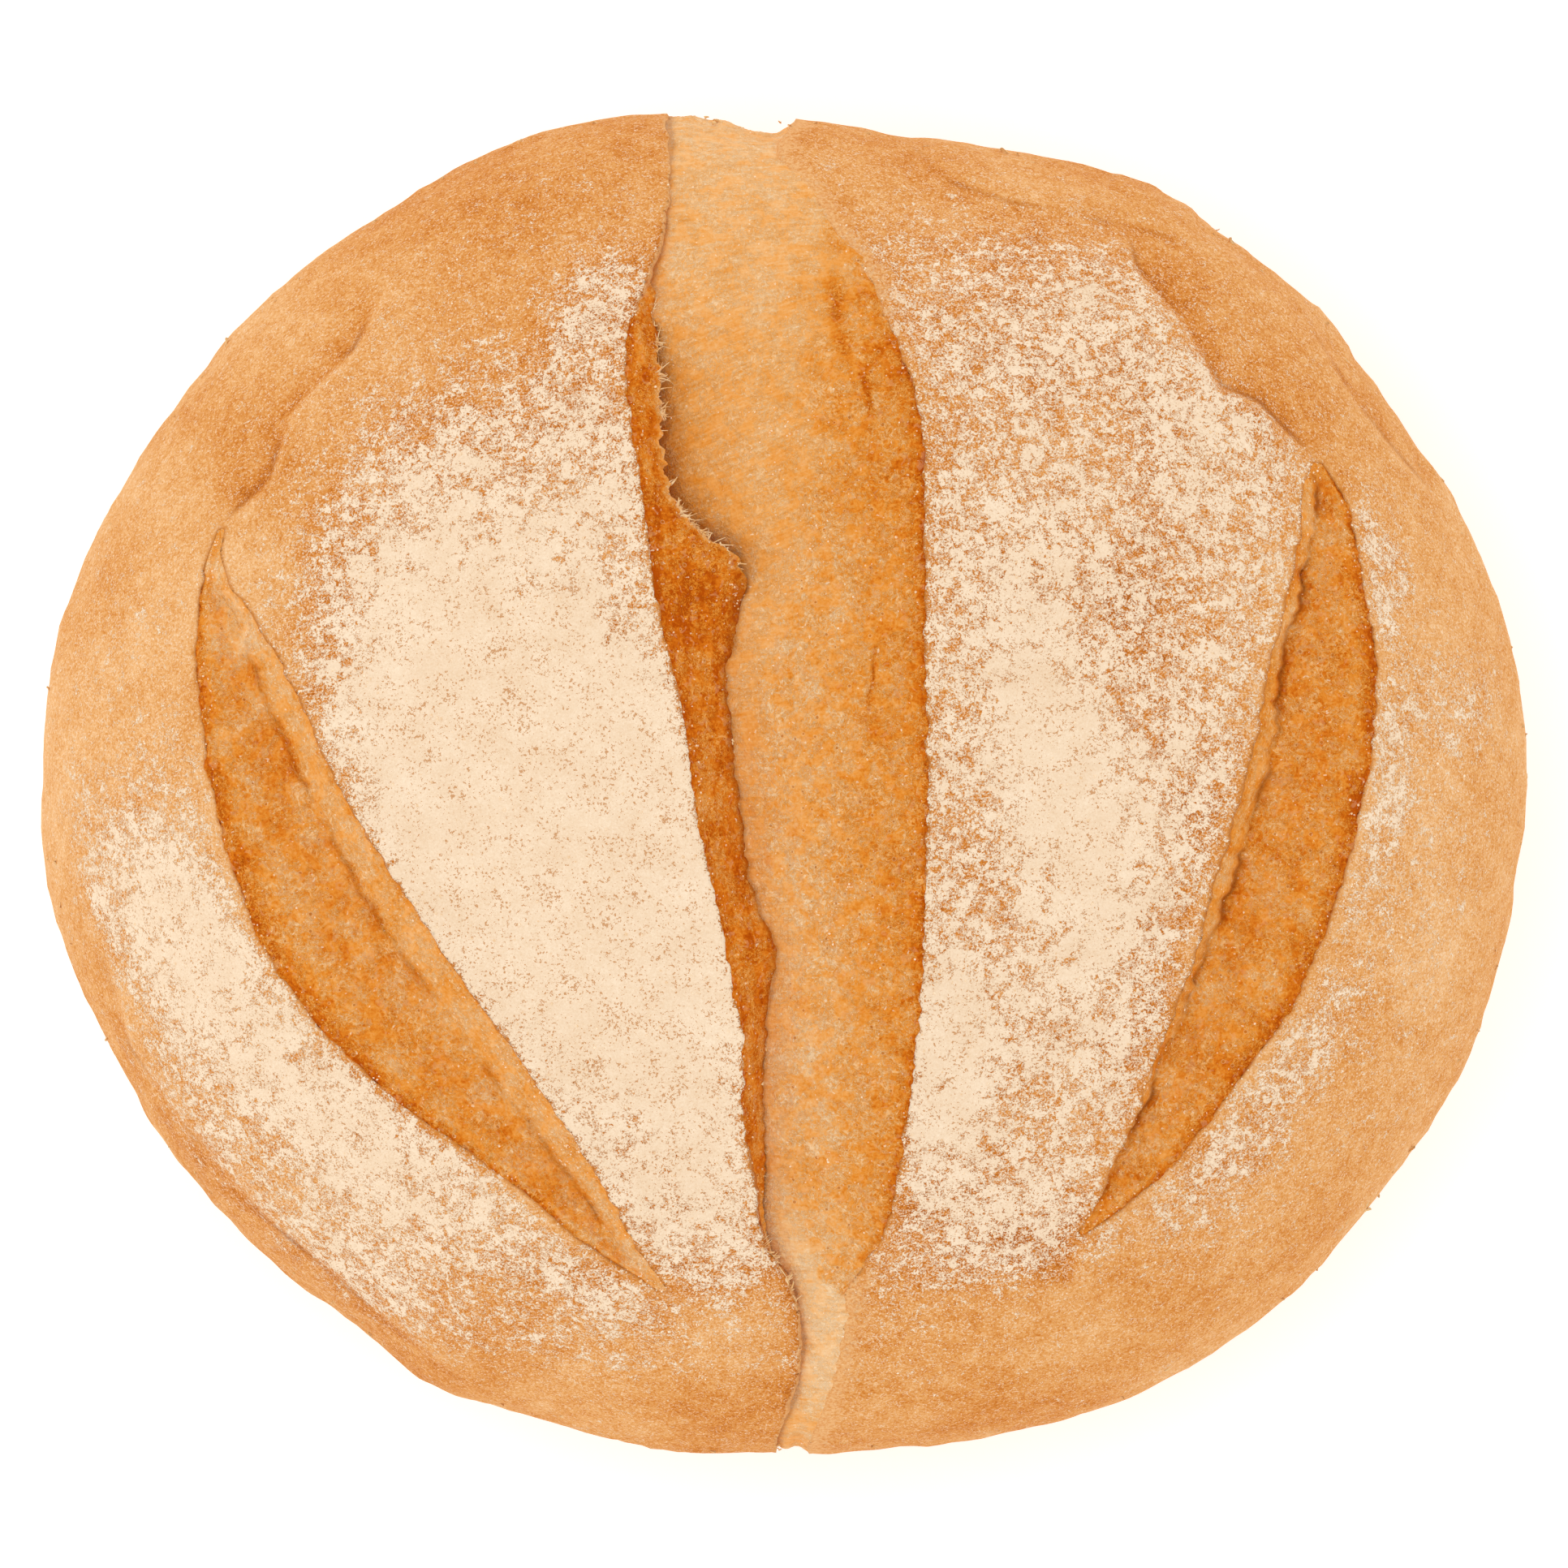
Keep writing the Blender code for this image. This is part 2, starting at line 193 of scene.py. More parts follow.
def wave(values, size, seed=0.0):
    """The same noise along one line."""
    return rough(np.column_stack((values, values * 0, values * 0)), size, seed)


def smooth_line(stations, column, y):
    """A column of a slash's stations at each y, on a smooth curve through them."""
    knots = np.array(stations)[::-1]
    at, value = knots[:, 0], knots[:, column]
    slope = np.gradient(value, at)
    y = np.clip(y, at[0], at[-1])
    right = np.clip(np.searchsorted(at, y), 1, len(at) - 1)
    left = right - 1
    gap = at[right] - at[left]
    t = (y - at[left]) / gap
    return (
        (1 + 2 * t) * (1 - t) ** 2 * value[left]
        + t * (1 - t) ** 2 * gap * slope[left]
        + t * t * (3 - 2 * t) * value[right]
        + t * t * (t - 1) * gap * slope[right]
    )


RAG_TABLE = np.arange(-95.0, 95.0, 0.15)
RAG = {
    (id(stations), column): 0.40 * wave(RAG_TABLE, 3.1, 11.3 * column + 3 * k)
    + 0.42 * wave(RAG_TABLE, 1.3, 5.7 * column + 7 * k)
    + 0.35 * wave(RAG_TABLE, 9.0, 2.1 * column + k)
    for k, (stations, _) in enumerate(SLASHES)
    for column in (1, 2, 3)
}
RAG[id(RIGHT), 2] *= 1.8


def ragged_line(stations, column, y):
    """A lip or a crack with its tears, which fade out where the slash closes."""
    width = smooth_line(stations, 3, y) - smooth_line(stations, 1, y)
    tear = np.interp(y, RAG_TABLE, RAG[id(stations), column])
    return smooth_line(stations, column, y) + tear * smooth_step(0.0, TIP_WIDTH, width)


def lean_of(stations, column, y):
    """How far a line goes sideways for each millimetre of y."""
    reach = 1.2
    return (smooth_line(stations, column, y + reach) - smooth_line(stations, column, y - reach)) / (2 * reach)


def merge_at(stations, y):
    """1 near the ends of the middle slash, where its crumb runs on into crust with no lip."""
    if stations is not MIDDLE:
        return np.zeros(len(y))
    return np.maximum(smooth_step(56.0, 72.0, y), smooth_step(-62.0, -70.0, y))


def inside_by(points, stations):
    """How far inside a slash each point is, square to its lips. Outside, it is less than nothing."""
    x, y = points[:, 0], points[:, 1]
    left, right = ragged_line(stations, 1, y), ragged_line(stations, 3, y)
    from_left = (x - left) / np.sqrt(1 + lean_of(stations, 1, y) ** 2)
    from_right = (right - x) / np.sqrt(1 + lean_of(stations, 3, y) ** 2)
    between_lips = np.minimum(from_left, from_right)
    if stations is MIDDLE:
        return between_lips
    return np.minimum(between_lips, np.minimum(stations[0][0] - y, y - stations[-1][0]))


def slash_relief(points, stations, floor_side):
    """How far one slash sinks or lifts each point, as in the solid, between its ragged lips."""
    x, y = points[:, 0], points[:, 1]
    left, crack, right = (ragged_line(stations, column, y) for column in (1, 2, 3))
    depth = DEPTH_SHARE * smooth_line(stations, 4, y)
    merged = merge_at(stations, y)
    wall, floor = (right, left) if floor_side == "left" else (left, right)
    inside = (x > left) & (x < right)
    opened = smooth_step(0.0, TIP_WIDTH, right - left)
    wall_share = np.clip((x - wall) / (crack - wall), 0, 1)
    floor_share = np.clip((floor - x) / (floor - crack), 0, 1)
    on_wall = (x - crack) * (floor - crack) < 0
    step = FLOOR_SINK_SHARE * depth * (1 - merged)
    rolled = (depth - step) * floor_share**FLOOR_ROLL
    floor_sink = rolled + step * (1 - (1 - floor_share) ** FLOOR_EDGE)
    sunk = -opened * np.where(on_wall, depth * smooth_step(0.0, 1.0, wall_share), floor_sink)
    off = np.minimum(np.abs(x - left), np.abs(x - right)) if stations is MIDDLE else np.abs(x - wall)
    past_tip = np.maximum(y - stations[0][0], stations[-1][0] - y)
    lip = LIP_RISE * opened * np.exp(-off / LIP_REACH) * (1 - smooth_step(0.0, LIP_REACH, past_tip))
    lip = lip * (1 - 0.8 * merged)
    relief = np.where(inside, sunk + lip * np.exp(-off), lip)
    return relief * smooth_step(SIDE_FADE_START, SIDE_FADE_END, points[:, 2])


halfway = np.array([0.0])
middle_width = (smooth_line(MIDDLE, 3, halfway) - smooth_line(MIDDLE, 1, halfway))[0]
print("middle slash is", middle_width.round(1), "mm wide")

# %% [markdown]
# ## Folds and lumps of the crust
#
# Where a slash ends, the skin of the dough is pulled into a fold. A fold is a step across a line: raised on
# its left side, lowered on its right, and fading with distance. Wrinkles are smaller folds, where the skin
# was dragged at the rim. The lumps are slow noise, as big as the gas pockets that push the skin up from
# below, and the rim, where the loaf is widest, is a little more uneven than the rest.

# %% Folds and lumps
FOLDS = (
    (-3.6, 8.0, ((-77.5, 34.5), (-70.0, 41.5), (-67.5, 50.5), (-58.5, 59.5), (-54.0, 69.0))),
    (-4.0, 8.0, ((46.6, 77.0), (48.4, 70.6), (54.9, 62.7), (59.8, 54.2), (64.8, 52.1), (73.0, 44.0))),
    (1.8, 6.0, ((16.6, 90.2), (23.7, 83.0), (31.0, 80.5), (46.5, 77.5), (60.0, 74.0))),
    (-2.2, 8.0, ((72.5, 63.2), (78.5, 52.3), (84.3, 45.6), (90.0, 39.3))),
    (
        3.0, 8.0,
        ((-94.5, -20.0), (-89.5, -36.0), (-82.3, -46.3), (-71.4, -58.8), (-54.0, -73.5), (-40.8, -84.5)),
    ),
    (-2.4, 4.0, ((39.5, -69.0), (40.0, -63.0), (43.5, -61.5))),
)
FOLD_SHARPNESS, FOLD_END_SHARE, FOLD_POINTS, FOLD_SHARE = 0.8, 0.16, 120, 0.75
LUMP_HEIGHT, LUMP_SIZE = 0.9, 26.0
WRINKLES = (
    (2.8, 3.5, ((36.0, 78.0), (42.0, 78.8), (47.0, 78.2), (52.0, 77.2))),
    (2.4, 2.5, ((45.0, 81.4), (48.5, 80.4), (52.0, 78.6))),
    (-3.4, 4.0, ((55.0, 76.4), (60.0, 74.4), (64.0, 71.4), (64.8, 67.0))),
    (2.8, 2.5, ((72.6, 66.6), (75.2, 63.4), (78.0, 58.4))),
    (1.8, 2.0, ((42.0, 63.6), (45.0, 62.4), (49.8, 59.4))),
)
RIM_FROM, RIM_TO, RIM_FADE, RIM_LUMP, RIM_HEIGHT = 22.0, 52.0, 6.0, 4.2, 0.32


def along_line(points, line):
    """For each point: the side it is on, how far it is from a line, and how far along that is."""
    knots = np.array(line)
    lengths = np.concatenate(([0.0], np.cumsum(np.linalg.norm(np.diff(knots, axis=0), axis=1))))
    along = np.linspace(0.0, lengths[-1], FOLD_POINTS)
    trace = np.column_stack([np.interp(along, lengths, knots[:, axis]) for axis in (0, 1)])
    direction = np.gradient(trace, axis=0)
    direction /= np.linalg.norm(direction, axis=1, keepdims=True)
    offset = points[:, None, :2] - trace[None]
    nearest = np.argmin((offset**2).sum(axis=2), axis=1)
    off = offset[np.arange(len(points)), nearest]
    heading = direction[nearest]
    side = heading[:, 0] * off[:, 1] - heading[:, 1] * off[:, 0]
    return side, np.linalg.norm(off, axis=1), nearest / (FOLD_POINTS - 1)


def fold_relief(points, step, fade, line):
    """How far one fold lifts or sinks each point that is near it."""
    relief = np.zeros(len(points))
    knots = np.array(line)
    low, high = knots.min(axis=0) - 4 * fade, knots.max(axis=0) + 4 * fade
    near = ((points[:, :2] > low) & (points[:, :2] < high)).all(axis=1)
    near &= points[:, 2] > SIDE_FADE_START
    if near.any():
        side, away, share = along_line(points[near], line)
        ends = smooth_step(0.0, FOLD_END_SHARE, share) * smooth_step(0.0, FOLD_END_SHARE, 1 - share)
        relief[near] = 0.5 * FOLD_SHARE * step * np.tanh(side / FOLD_SHARPNESS) * np.exp(-away / fade) * ends
    return relief * smooth_step(SIDE_FADE_START, SIDE_FADE_END, points[:, 2])


def skin_relief(points):
    """Lumps, folds and small unevenness of the crust, off the flat sole."""
    off_sole = smooth_step(1.0, SIDE_FADE_START, points[:, 2])
    relief = LUMP_HEIGHT * rough(points, LUMP_SIZE) * off_sole
    relief += (0.30 * rough(points, 9.0, 4.0) + 0.15 * rough(points, 3.2, 8.0)) * off_sole
    z = points[:, 2]
    on_rim = smooth_step(RIM_FROM - RIM_FADE, RIM_FROM, z) * (1 - smooth_step(RIM_TO - RIM_FADE, RIM_TO, z))
    relief += RIM_HEIGHT * rough(points, RIM_LUMP, 15.0) * on_rim
    for step, fade, line in FOLDS + WRINKLES:
        relief += fold_relief(points, step, fade, line)
    return relief


# %% [markdown]
# ## Where the flour lies
#
# Flour was shaken over the top only. It is thick where the shaker stopped, thin towards the sides, and none
# fell behind the folds. Soft round patches, each with its middle, its two reaches, its turn and its strength,
# say how much there is. The material breaks this up into grains.

# %% Patches of flour
FLOUR = (
    (-38.5, -4.0, 22.0, 44.0, 16.0, 0.95), (-19.0, -14.0, 15.0, 44.0, 12.0, 0.93),
    (-34.0, 40.0, 22.0, 19.0, 0.0, 0.40), (-24.0, 50.0, 11.0, 19.0, 0.0, 0.34),
    (-24.0, 66.0, 8.0, 9.0, 0.0, 0.28), (-48.0, 46.0, 22.0, 18.0, -35.0, 0.12),
    (-62.0, 22.0, 12.0, 14.0, 0.0, 0.16), (-11.0, -57.0, 9.0, 12.0, 20.0, 0.58),
    (-25.0, -52.0, 6.0, 14.0, 32.0, 0.55), (38.0, 0.0, 8.5, 22.0, 16.0, 0.80),
    (32.0, 3.0, 27.0, 34.0, 4.0, 0.54), (40.0, 46.0, 28.0, 25.0, 0.0, 0.48),
    (26.0, 66.0, 20.0, 12.0, -8.0, 0.26), (63.0, 36.0, 10.0, 22.0, 10.0, 0.32),
    (21.5, -38.0, 7.0, 17.0, 0.0, 0.76), (33.0, -43.0, 18.0, 22.0, -8.0, 0.52),
    (46.0, -26.0, 12.0, 18.0, -15.0, 0.30), (26.0, -61.0, 17.0, 8.0, 10.0, 0.36),
    (56.0, 4.0, 8.0, 22.0, -12.0, 0.34), (50.0, 60.0, 8.0, 14.0, 35.0, 0.16),
    (-68.0, -35.0, 9.5, 29.0, 44.0, 0.68), (-84.0, -20.0, 9.0, 18.0, 22.0, 0.52),
    (-51.0, -52.0, 8.0, 20.0, 58.0, 0.50), (-70.0, -55.0, 12.0, 28.0, 50.0, 0.46),
    (-29.0, -66.0, 4.5, 15.0, 62.0, 0.38), (-95.0, -9.0, 7.0, 14.0, 0.0, 0.20),
    (-83.0, -8.0, 6.0, 16.0, 14.0, 0.30), (-92.0, 24.0, 6.0, 14.0, -20.0, 0.14),
    (-42.0, -70.0, 26.0, 8.0, -16.0, 0.30), (81.5, 30.0, 4.5, 13.0, 4.0, 0.46),
    (82.5, 3.0, 4.0, 9.0, 4.0, 0.46), (91.0, 11.0, 8.0, 7.0, 0.0, 0.34),
    (79.0, -11.0, 5.0, 9.0, -14.0, 0.30), (88.0, -9.0, 7.0, 11.0, 0.0, 0.12),
    (66.0, -43.0, 5.5, 20.0, -36.0, 0.40), (58.0, -57.0, 12.0, 8.0, 30.0, 0.20),
    (80.0, -30.0, 14.0, 24.0, -24.0, 0.10), (0.0, -72.0, 30.0, 9.0, 0.0, 0.16),
    (82.0, 8.0, 16.0, 44.0, 0.0, 0.07), (-84.0, -6.0, 14.0, 40.0, 6.0, 0.06),
    (0.0, 74.0, 52.0, 12.0, 0.0, 0.07),
)
FLOUR_EDGES = ((FOLDS[0][2], 1, 0.9), (FOLDS[1][2], 1, 0.9), (FOLDS[4][2], -1, 0.65))


def on_lobes(points):
    """1 on the two lobes outside the outer slashes, and 0 between them."""
    x, y = points[:, 0], points[:, 1]
    left_of, right_of = smooth_line(LEFT, 2, y) - x, x - smooth_line(RIGHT, 2, y)
    return smooth_step(0.0, 3.0, left_of) + smooth_step(0.0, 3.0, right_of)


def flour_at(points, inside):
    """How thick the flour lies: 0 is bare and 1 is covered."""
    bare = np.ones(len(points))
    for x, y, wide, long, turn, strength in FLOUR:
        turned = math.radians(turn)
        dx, dy = points[:, 0] - x, points[:, 1] - y
        across = (dx * math.cos(turned) + dy * math.sin(turned)) / wide
        along = (-dx * math.sin(turned) + dy * math.cos(turned)) / long
        amount = strength * (1 - smooth_step(0.5, 1.5, np.hypot(across, along)))
        bare *= 1 - np.minimum(amount, 0.97)
    flour = 1 - bare
    for line, bare_side, bareness in FLOUR_EDGES:
        side, away, share = along_line(points, line)
        flour *= 1 - bareness * smooth_step(-0.8, 1.2, side * bare_side) * np.exp(-away / 22.0)
    flour *= smooth_step(WAIST_HEIGHT + 2, WAIST_HEIGHT + 20, points[:, 2])
    flour *= 1 - (0.10 + 0.40 * on_lobes(points)) * smooth_step(-2.0, -0.2, inside)
    return flour * (1 - smooth_step(-0.1, 0.25, inside))


# %% [markdown]
# ## Helpers for meshes
#
# Numbers go in and out of a mesh as whole arrays, which is fast. A value on every point, such as the amount
# of flour, is an attribute that the material can read.

# %% Mesh helpers
def points_of(piece):
    """A piece's points as rows of three numbers."""
    values = np.empty(len(piece.data.vertices) * 3, np.float32)
    piece.data.vertices.foreach_get("co", values)
    return values.reshape(-1, 3).astype(float)


def place_points(piece, points):
    """Moves a piece's points to the rows given."""
    piece.data.vertices.foreach_set("co", points.astype(np.float32).ravel())
    piece.data.update()


def store(piece, name, values):
    """Keeps a number on each of a piece's points."""
    attribute = piece.data.attributes.new(name, "FLOAT", "POINT")
    attribute.data.foreach_set("value", np.asarray(values, np.float32))


def edit(piece):
    """Selects one piece alone and opens it in edit mode."""
    bpy.ops.object.select_all(action="DESELECT")
    piece.select_set(True)
    bpy.context.view_layer.objects.active = piece
    bpy.ops.object.mode_set(mode="EDIT")


def select_faces(piece, chosen):
    """Selects the faces that the list says, in edit mode's face mode."""
    bpy.ops.mesh.select_mode(type="FACE")
    bpy.ops.mesh.select_all(action="DESELECT")
    bpy.ops.object.mode_set(mode="OBJECT")
    piece.data.polygons.foreach_set("select", chosen)
    bpy.ops.object.mode_set(mode="EDIT")


def triangles(piece):
    return sum(len(face.vertices) - 2 for face in piece.data.polygons)


# %% [markdown]
# ## The crust
#
# The crust is one skin over the whole loaf, with the slashes sunk into it. It starts as a cube that is cut
# into even faces and pushed out to a ball. Faces near the lips and the folds are cut twice more, because that
# is where the eye looks for thin, torn edges; the smooth sides and the sole stay coarse.

# %% A ball of even faces, finer at the lips
BALL_CUTS = 79
bpy.ops.object.select_all(action="DESELECT")
bpy.ops.mesh.primitive_cube_add(size=2.0)
crust = bpy.context.object
crust.name = "crust"
edit(crust)
bpy.ops.mesh.subdivide(number_cuts=BALL_CUTS)
bpy.ops.object.mode_set(mode="OBJECT")
square = points_of(crust)
ball = np.tan(square * math.pi / 4)
place_points(crust, ball / np.linalg.norm(ball, axis=1, keepdims=True))


def closest_lip(points):
    """How far inside the nearest slash each point is."""
    return np.max([inside_by(points, stations) for stations, _ in SLASHES], axis=0)


def face_middles(piece):
    values = np.empty(len(piece.data.polygons) * 3, np.float32)
    piece.data.polygons.foreach_get("center", values)
    middles = values.reshape(-1, 3).astype(float)
    return middles / np.linalg.norm(middles, axis=1, keepdims=True)


for out, inner, fold_reach in ((5.5, 3.0, 6.0), (2.2, 1.2, 1.6)):
    middles = loaf_form(face_middles(crust))
    inside = closest_lip(middles)
    chosen = (inside > -out) & (inside < inner) & (middles[:, 2] > 12.0)
    for _, _, line in FOLDS:
        chosen |= (along_line(middles, line)[1] < fold_reach) & (middles[:, 2] > WAIST_HEIGHT)
    edit(crust)
    select_faces(crust, chosen)
    bpy.ops.mesh.subdivide(number_cuts=1)
    bpy.ops.object.mode_set(mode="OBJECT")
    ball = points_of(crust)
    place_points(crust, ball / np.linalg.norm(ball, axis=1, keepdims=True))
print("crust has", triangles(crust), "triangles")

# %% [markdown]
# Points that are close to a lip are moved onto it before the crust is pressed, so that the torn edge runs
# through points and not between them. Under the open crumb the crust sinks a little deeper than the solid:
# the crumb is a piece of its own and covers it.

# %% The crust pressed into shape
CRUST_UNDER_CRUMB, SHEET_END = 2.4, 18.0
LINE_PULL, BOX_MARGIN = 0.24, 0.06


def pull_to_lips(points):
    """Moves points of the crown that are close to a lip onto it."""
    for stations, _ in SLASHES:
        for column in (1, 3):
            x, y = points[:, 0], points[:, 1]
            lean = lean_of(stations, column, y)
            off = ragged_line(stations, column, y) - x
            near = (points[:, 2] > WAIST_HEIGHT) & (y < stations[0][0]) & (y > stations[-1][0])
            near &= np.abs(off) < LINE_PULL * np.sqrt(1 + lean**2)
            points[:, 0] += np.where(near, off / (1 + lean**2), 0.0)
            points[:, 1] -= np.where(near, off * lean / (1 + lean**2), 0.0)
    return points


ball = points_of(crust)
plain = loaf_form(ball)
above = ball[:, 2] > 0
pulled = pull_to_lips(plain.copy())
moved = above & (np.abs(pulled - plain).max(axis=1) > 1e-6)
ball[moved] = ball_of_plan(pulled[moved, 0], pulled[moved, 1])
plain, normal = form_and_normal(ball)
inside = closest_lip(plain)
crust_relief = skin_relief(plain)
for stations, floor_side in SLASHES:
    crust_relief += slash_relief(plain, stations, floor_side)
on_side = smooth_step(SIDE_FADE_START, SIDE_FADE_END, plain[:, 2])
covered_here = smooth_step(SHEET_END + 2.0, SHEET_END + 12.0, plain[:, 2])
crust_relief -= CRUST_UNDER_CRUMB * smooth_step(0.0, 0.9, inside) * covered_here
shaped = plain + normal * crust_relief[:, None]
shaped[:, 2] = np.maximum(shaped[:, 2], 0.0)

dressed_low, dressed_high = shaped.min(axis=0), shaped.max(axis=0)
squeeze = np.minimum(1.0, (loaf_high - loaf_low - BOX_MARGIN) / (dressed_high - dressed_low))
dressed_middle, loaf_middle = (dressed_low + dressed_high) / 2, (loaf_low + loaf_high) / 2
dressed_middle[2] = loaf_middle[2] = 0.0


def settle(points):
    """From the form's millimetres to the solid's place, in metres."""
    return ((points - dressed_middle) * squeeze + loaf_middle) / 1000


place_points(crust, settle(shaped))
edit(crust)
bpy.ops.mesh.select_all(action="SELECT")
bpy.ops.mesh.quads_convert_to_tris(quad_method="SHORTEST_DIAGONAL")
bpy.ops.mesh.normals_make_consistent(inside=False)
bpy.ops.object.mode_set(mode="OBJECT")
crust.data.shade_smooth()
crust_flour = flour_at(plain, inside)
store(crust, "flour", crust_flour)
left_of_middle, right_of_middle = (
    plain[:, 0] - ragged_line(MIDDLE, column, plain[:, 1]) for column in (1, 3)
)
crumb_near = merge_at(MIDDLE, plain[:, 1]) * (1 - smooth_step(-1.0, 6.0, right_of_middle))
crumb_near = crumb_near * smooth_step(-0.5, 0.2, left_of_middle)
store(crust, "merge", crumb_near)
lip_shows = (1 - crumb_near) * (1 - smooth_step(79.0, 86.0, plain[:, 1]))
store(crust, "lip", np.exp(-np.maximum(-inside, 0.0) / 0.25) * on_side * lip_shows)
store(crust, "inside", smooth_step(0.1, 0.6, inside) * (1 - crumb_near) * covered_here)
# Painted shade of the folds: a thin shadow line at the foot of each fold's step, and softer shade over its low
# side.
crease_shades, shades = np.zeros(len(plain)), np.zeros(len(plain))
fold_breaks, fold_shades = rough(plain, 7.0, 90.0), rough(plain, 5.0, 95.0)
for step, fade, line in FOLDS:
    side, away, share = along_line(plain, line)
    below = -side * np.sign(step)
    ends = smooth_step(0.0, 0.15, share) * smooth_step(0.0, 0.15, 1 - share) * min(1.0, abs(step) / 3.5)
    foot = np.exp(-(((below - 0.5) / 0.35) ** 2)) * np.clip(0.3 + 1.6 * fold_breaks, 0, 1)
    crease_shades = np.maximum(crease_shades, foot * ends * (away < 3.0))
    soft = smooth_step(-0.4, 0.8, below) * np.exp(-away / 3.5) * np.clip(0.8 + 0.8 * fold_shades, 0, 1)
    shades = np.maximum(shades, soft * ends)
# Painted shade on the crust at the left lip of the middle slash, near both its ends.
lip_shade = smooth_step(-60.0, -66.0, plain[:, 1]) * smooth_step(-88.0, -84.0, plain[:, 1])
lip_shade = np.maximum(
    lip_shade, 0.7 * smooth_step(61.0, 66.0, plain[:, 1]) * smooth_step(80.0, 74.0, plain[:, 1])
)
shades = np.maximum(shades, lip_shade * np.exp(-np.abs(left_of_middle) / 1.1) * (left_of_middle < 0.3))
store(crust, "lobe", on_lobes(plain))
store(crust, "crease_shade", crease_shades)
store(crust, "shade", shades)
store(crust, "side", 1 - smooth_step(6.0, WAIST_HEIGHT + 12.0, plain[:, 2]))
print("crust squeezed by", squeeze.round(4), "and", len(crust.data.polygons), "triangles")

# %% [markdown]
# ## The open crumb
#
# In each slash the crumb swelled up and tore. It is a sheet of its own, laid over the opening and tucked
# under both lips, so that a crisp line of crust runs over it. A grid is added, its points are carried to
# their places by a rule, and its rim is drawn towards the middle of the loaf and closed, which makes it a
# body. The finest grid goes here, because pores and strands are under a millimetre wide.

# %% Crumb relief and a grid that becomes a body
TUCK = 1.3
TUCK_DEPTH = 1.7
CORE = np.array([0.0, 0.0, 34.0])
BUBBLES = (
    (-62.0, -12.2, 3.1), (-57.5, -23.0, 2.2), (-66.5, -1.0, 1.8), (3.9, -6.2, 2.3), (10.5, 2.0, 1.6),
    (9.5, -51.5, 2.2), (-26.5, -57.8, 1.8), (12.2, -38.0, 1.7), (71.5, -12.0, 1.8), (64.0, -26.0, 1.5),
)


def pores(points, count, smallest, largest, seed):
    """Small round holes, at random places among the points: how deep each point is in one, from 0 to 1."""
    draw = np.random.default_rng(seed)
    middles = points[draw.integers(0, len(points), count)]
    sizes = smallest + (largest - smallest) * draw.random(count) ** 4
    depth = np.zeros(len(points))
    order = np.argsort(points[:, 1])
    sorted_y = points[order, 1]
    for middle, size in zip(middles, sizes):
        low, high = np.searchsorted(sorted_y, (middle[1] - size, middle[1] + size))
        near = order[low:high]
        away = np.linalg.norm(points[near] - middle, axis=1) / size
        depth[near] = np.maximum(depth[near], np.clip(1 - away**2, 0, 1))
    return depth


def foam(points, size, stretch, seed):
    """Bubble walls of the foam: 1 on the wall between two bubbles and 0 inside them."""
    warped = points + 0.3 * size * np.column_stack([rough(points, size, seed + k) for k in (1, 2, 3)])
    cells = warped / (np.array([1.0, stretch, 1.0]) * size)
    gaps = np.empty(len(points))
    for i, cell in enumerate(cells.tolist()):
        near = noise.voronoi(Vector(cell))[0]
        gaps[i] = near[1] - near[0]
    return 1 - smooth_step(0.0, 0.28, gaps)


def big_bubbles(points):
    """A few bubbles that stayed whole: how far into one each point is, from 0 at its rim to 1."""
    inner = np.zeros(len(points))
    for x, y, radius in BUBBLES:
        away = np.hypot(points[:, 0] - x, (points[:, 1] - y) * 0.8) / radius
        inner = np.maximum(inner, np.clip(1 - away**2, 0, 1))
    return inner


def crumb_relief(points, seed):
    """Lumps, bubble walls, curled strands and grit of torn crumb."""
    lumps = 0.42 * rough(points, 4.5, seed) + 0.26 * rough(points, 1.9, seed + 3)
    walls = foam(points, 1.9, 1.5, seed)
    drift = np.column_stack([rough(points, 2.2, seed + k) for k in (11, 12, 13)])
    curls = np.clip(1 - 5 * np.abs(rough(points + 1.2 * drift, 1.9, seed + 6)), 0, 1)
    hairs = np.clip(1 - 4 * np.abs(rough(points + 0.8 * drift, 0.95, seed + 7)), 0, 1)
    fine = 0.22 * curls + 0.13 * hairs + 0.08 * rough(points, 0.6, seed + 9)
    whole = big_bubbles(points)
    calm = 1 - 0.8 * smooth_step(0.1, 0.4, whole)
    return (lumps + 0.12 * walls + fine) * calm + 0.5 * np.sqrt(whole), np.maximum(curls, 0.6 * hairs) * calm


def crumb_grid(name, across, along):
    """A flat grid whose own x and y run from 0 to 1."""
    bpy.ops.object.select_all(action="DESELECT")
    bpy.ops.mesh.primitive_grid_add(x_subdivisions=across, y_subdivisions=along, size=1.0)
    piece = bpy.context.object
    piece.name = name
    flat = points_of(piece) + 0.5
    return piece, flat[:, 0], flat[:, 1]


def close_body(piece, depth_share=0.93):
    """Draws a sheet's rim towards the middle of the loaf and closes it, facing out."""
    edit(piece)
    bpy.ops.mesh.select_mode(type="EDGE")
    bpy.ops.mesh.select_all(action="DESELECT")
    bpy.ops.mesh.select_non_manifold(extend=False)
    bpy.ops.mesh.extrude_region_move()
    bpy.ops.object.mode_set(mode="OBJECT")
    chosen = np.empty(len(piece.data.vertices), bool)
    piece.data.vertices.foreach_get("select", chosen)
    points = points_of(piece)
    core = settle(CORE[None])[0]
    points[chosen] = core + (points[chosen] - core) * depth_share
    place_points(piece, points)
    bpy.ops.object.mode_set(mode="EDIT")
    bpy.ops.mesh.edge_face_add()
    bpy.ops.mesh.select_all(action="SELECT")
    bpy.ops.mesh.quads_convert_to_tris(quad_method="SHORTEST_DIAGONAL", ngon_method="BEAUTY")
    bpy.ops.mesh.normals_make_consistent(inside=False)
    bpy.ops.object.mode_set(mode="OBJECT")
    piece.data.shade_smooth()
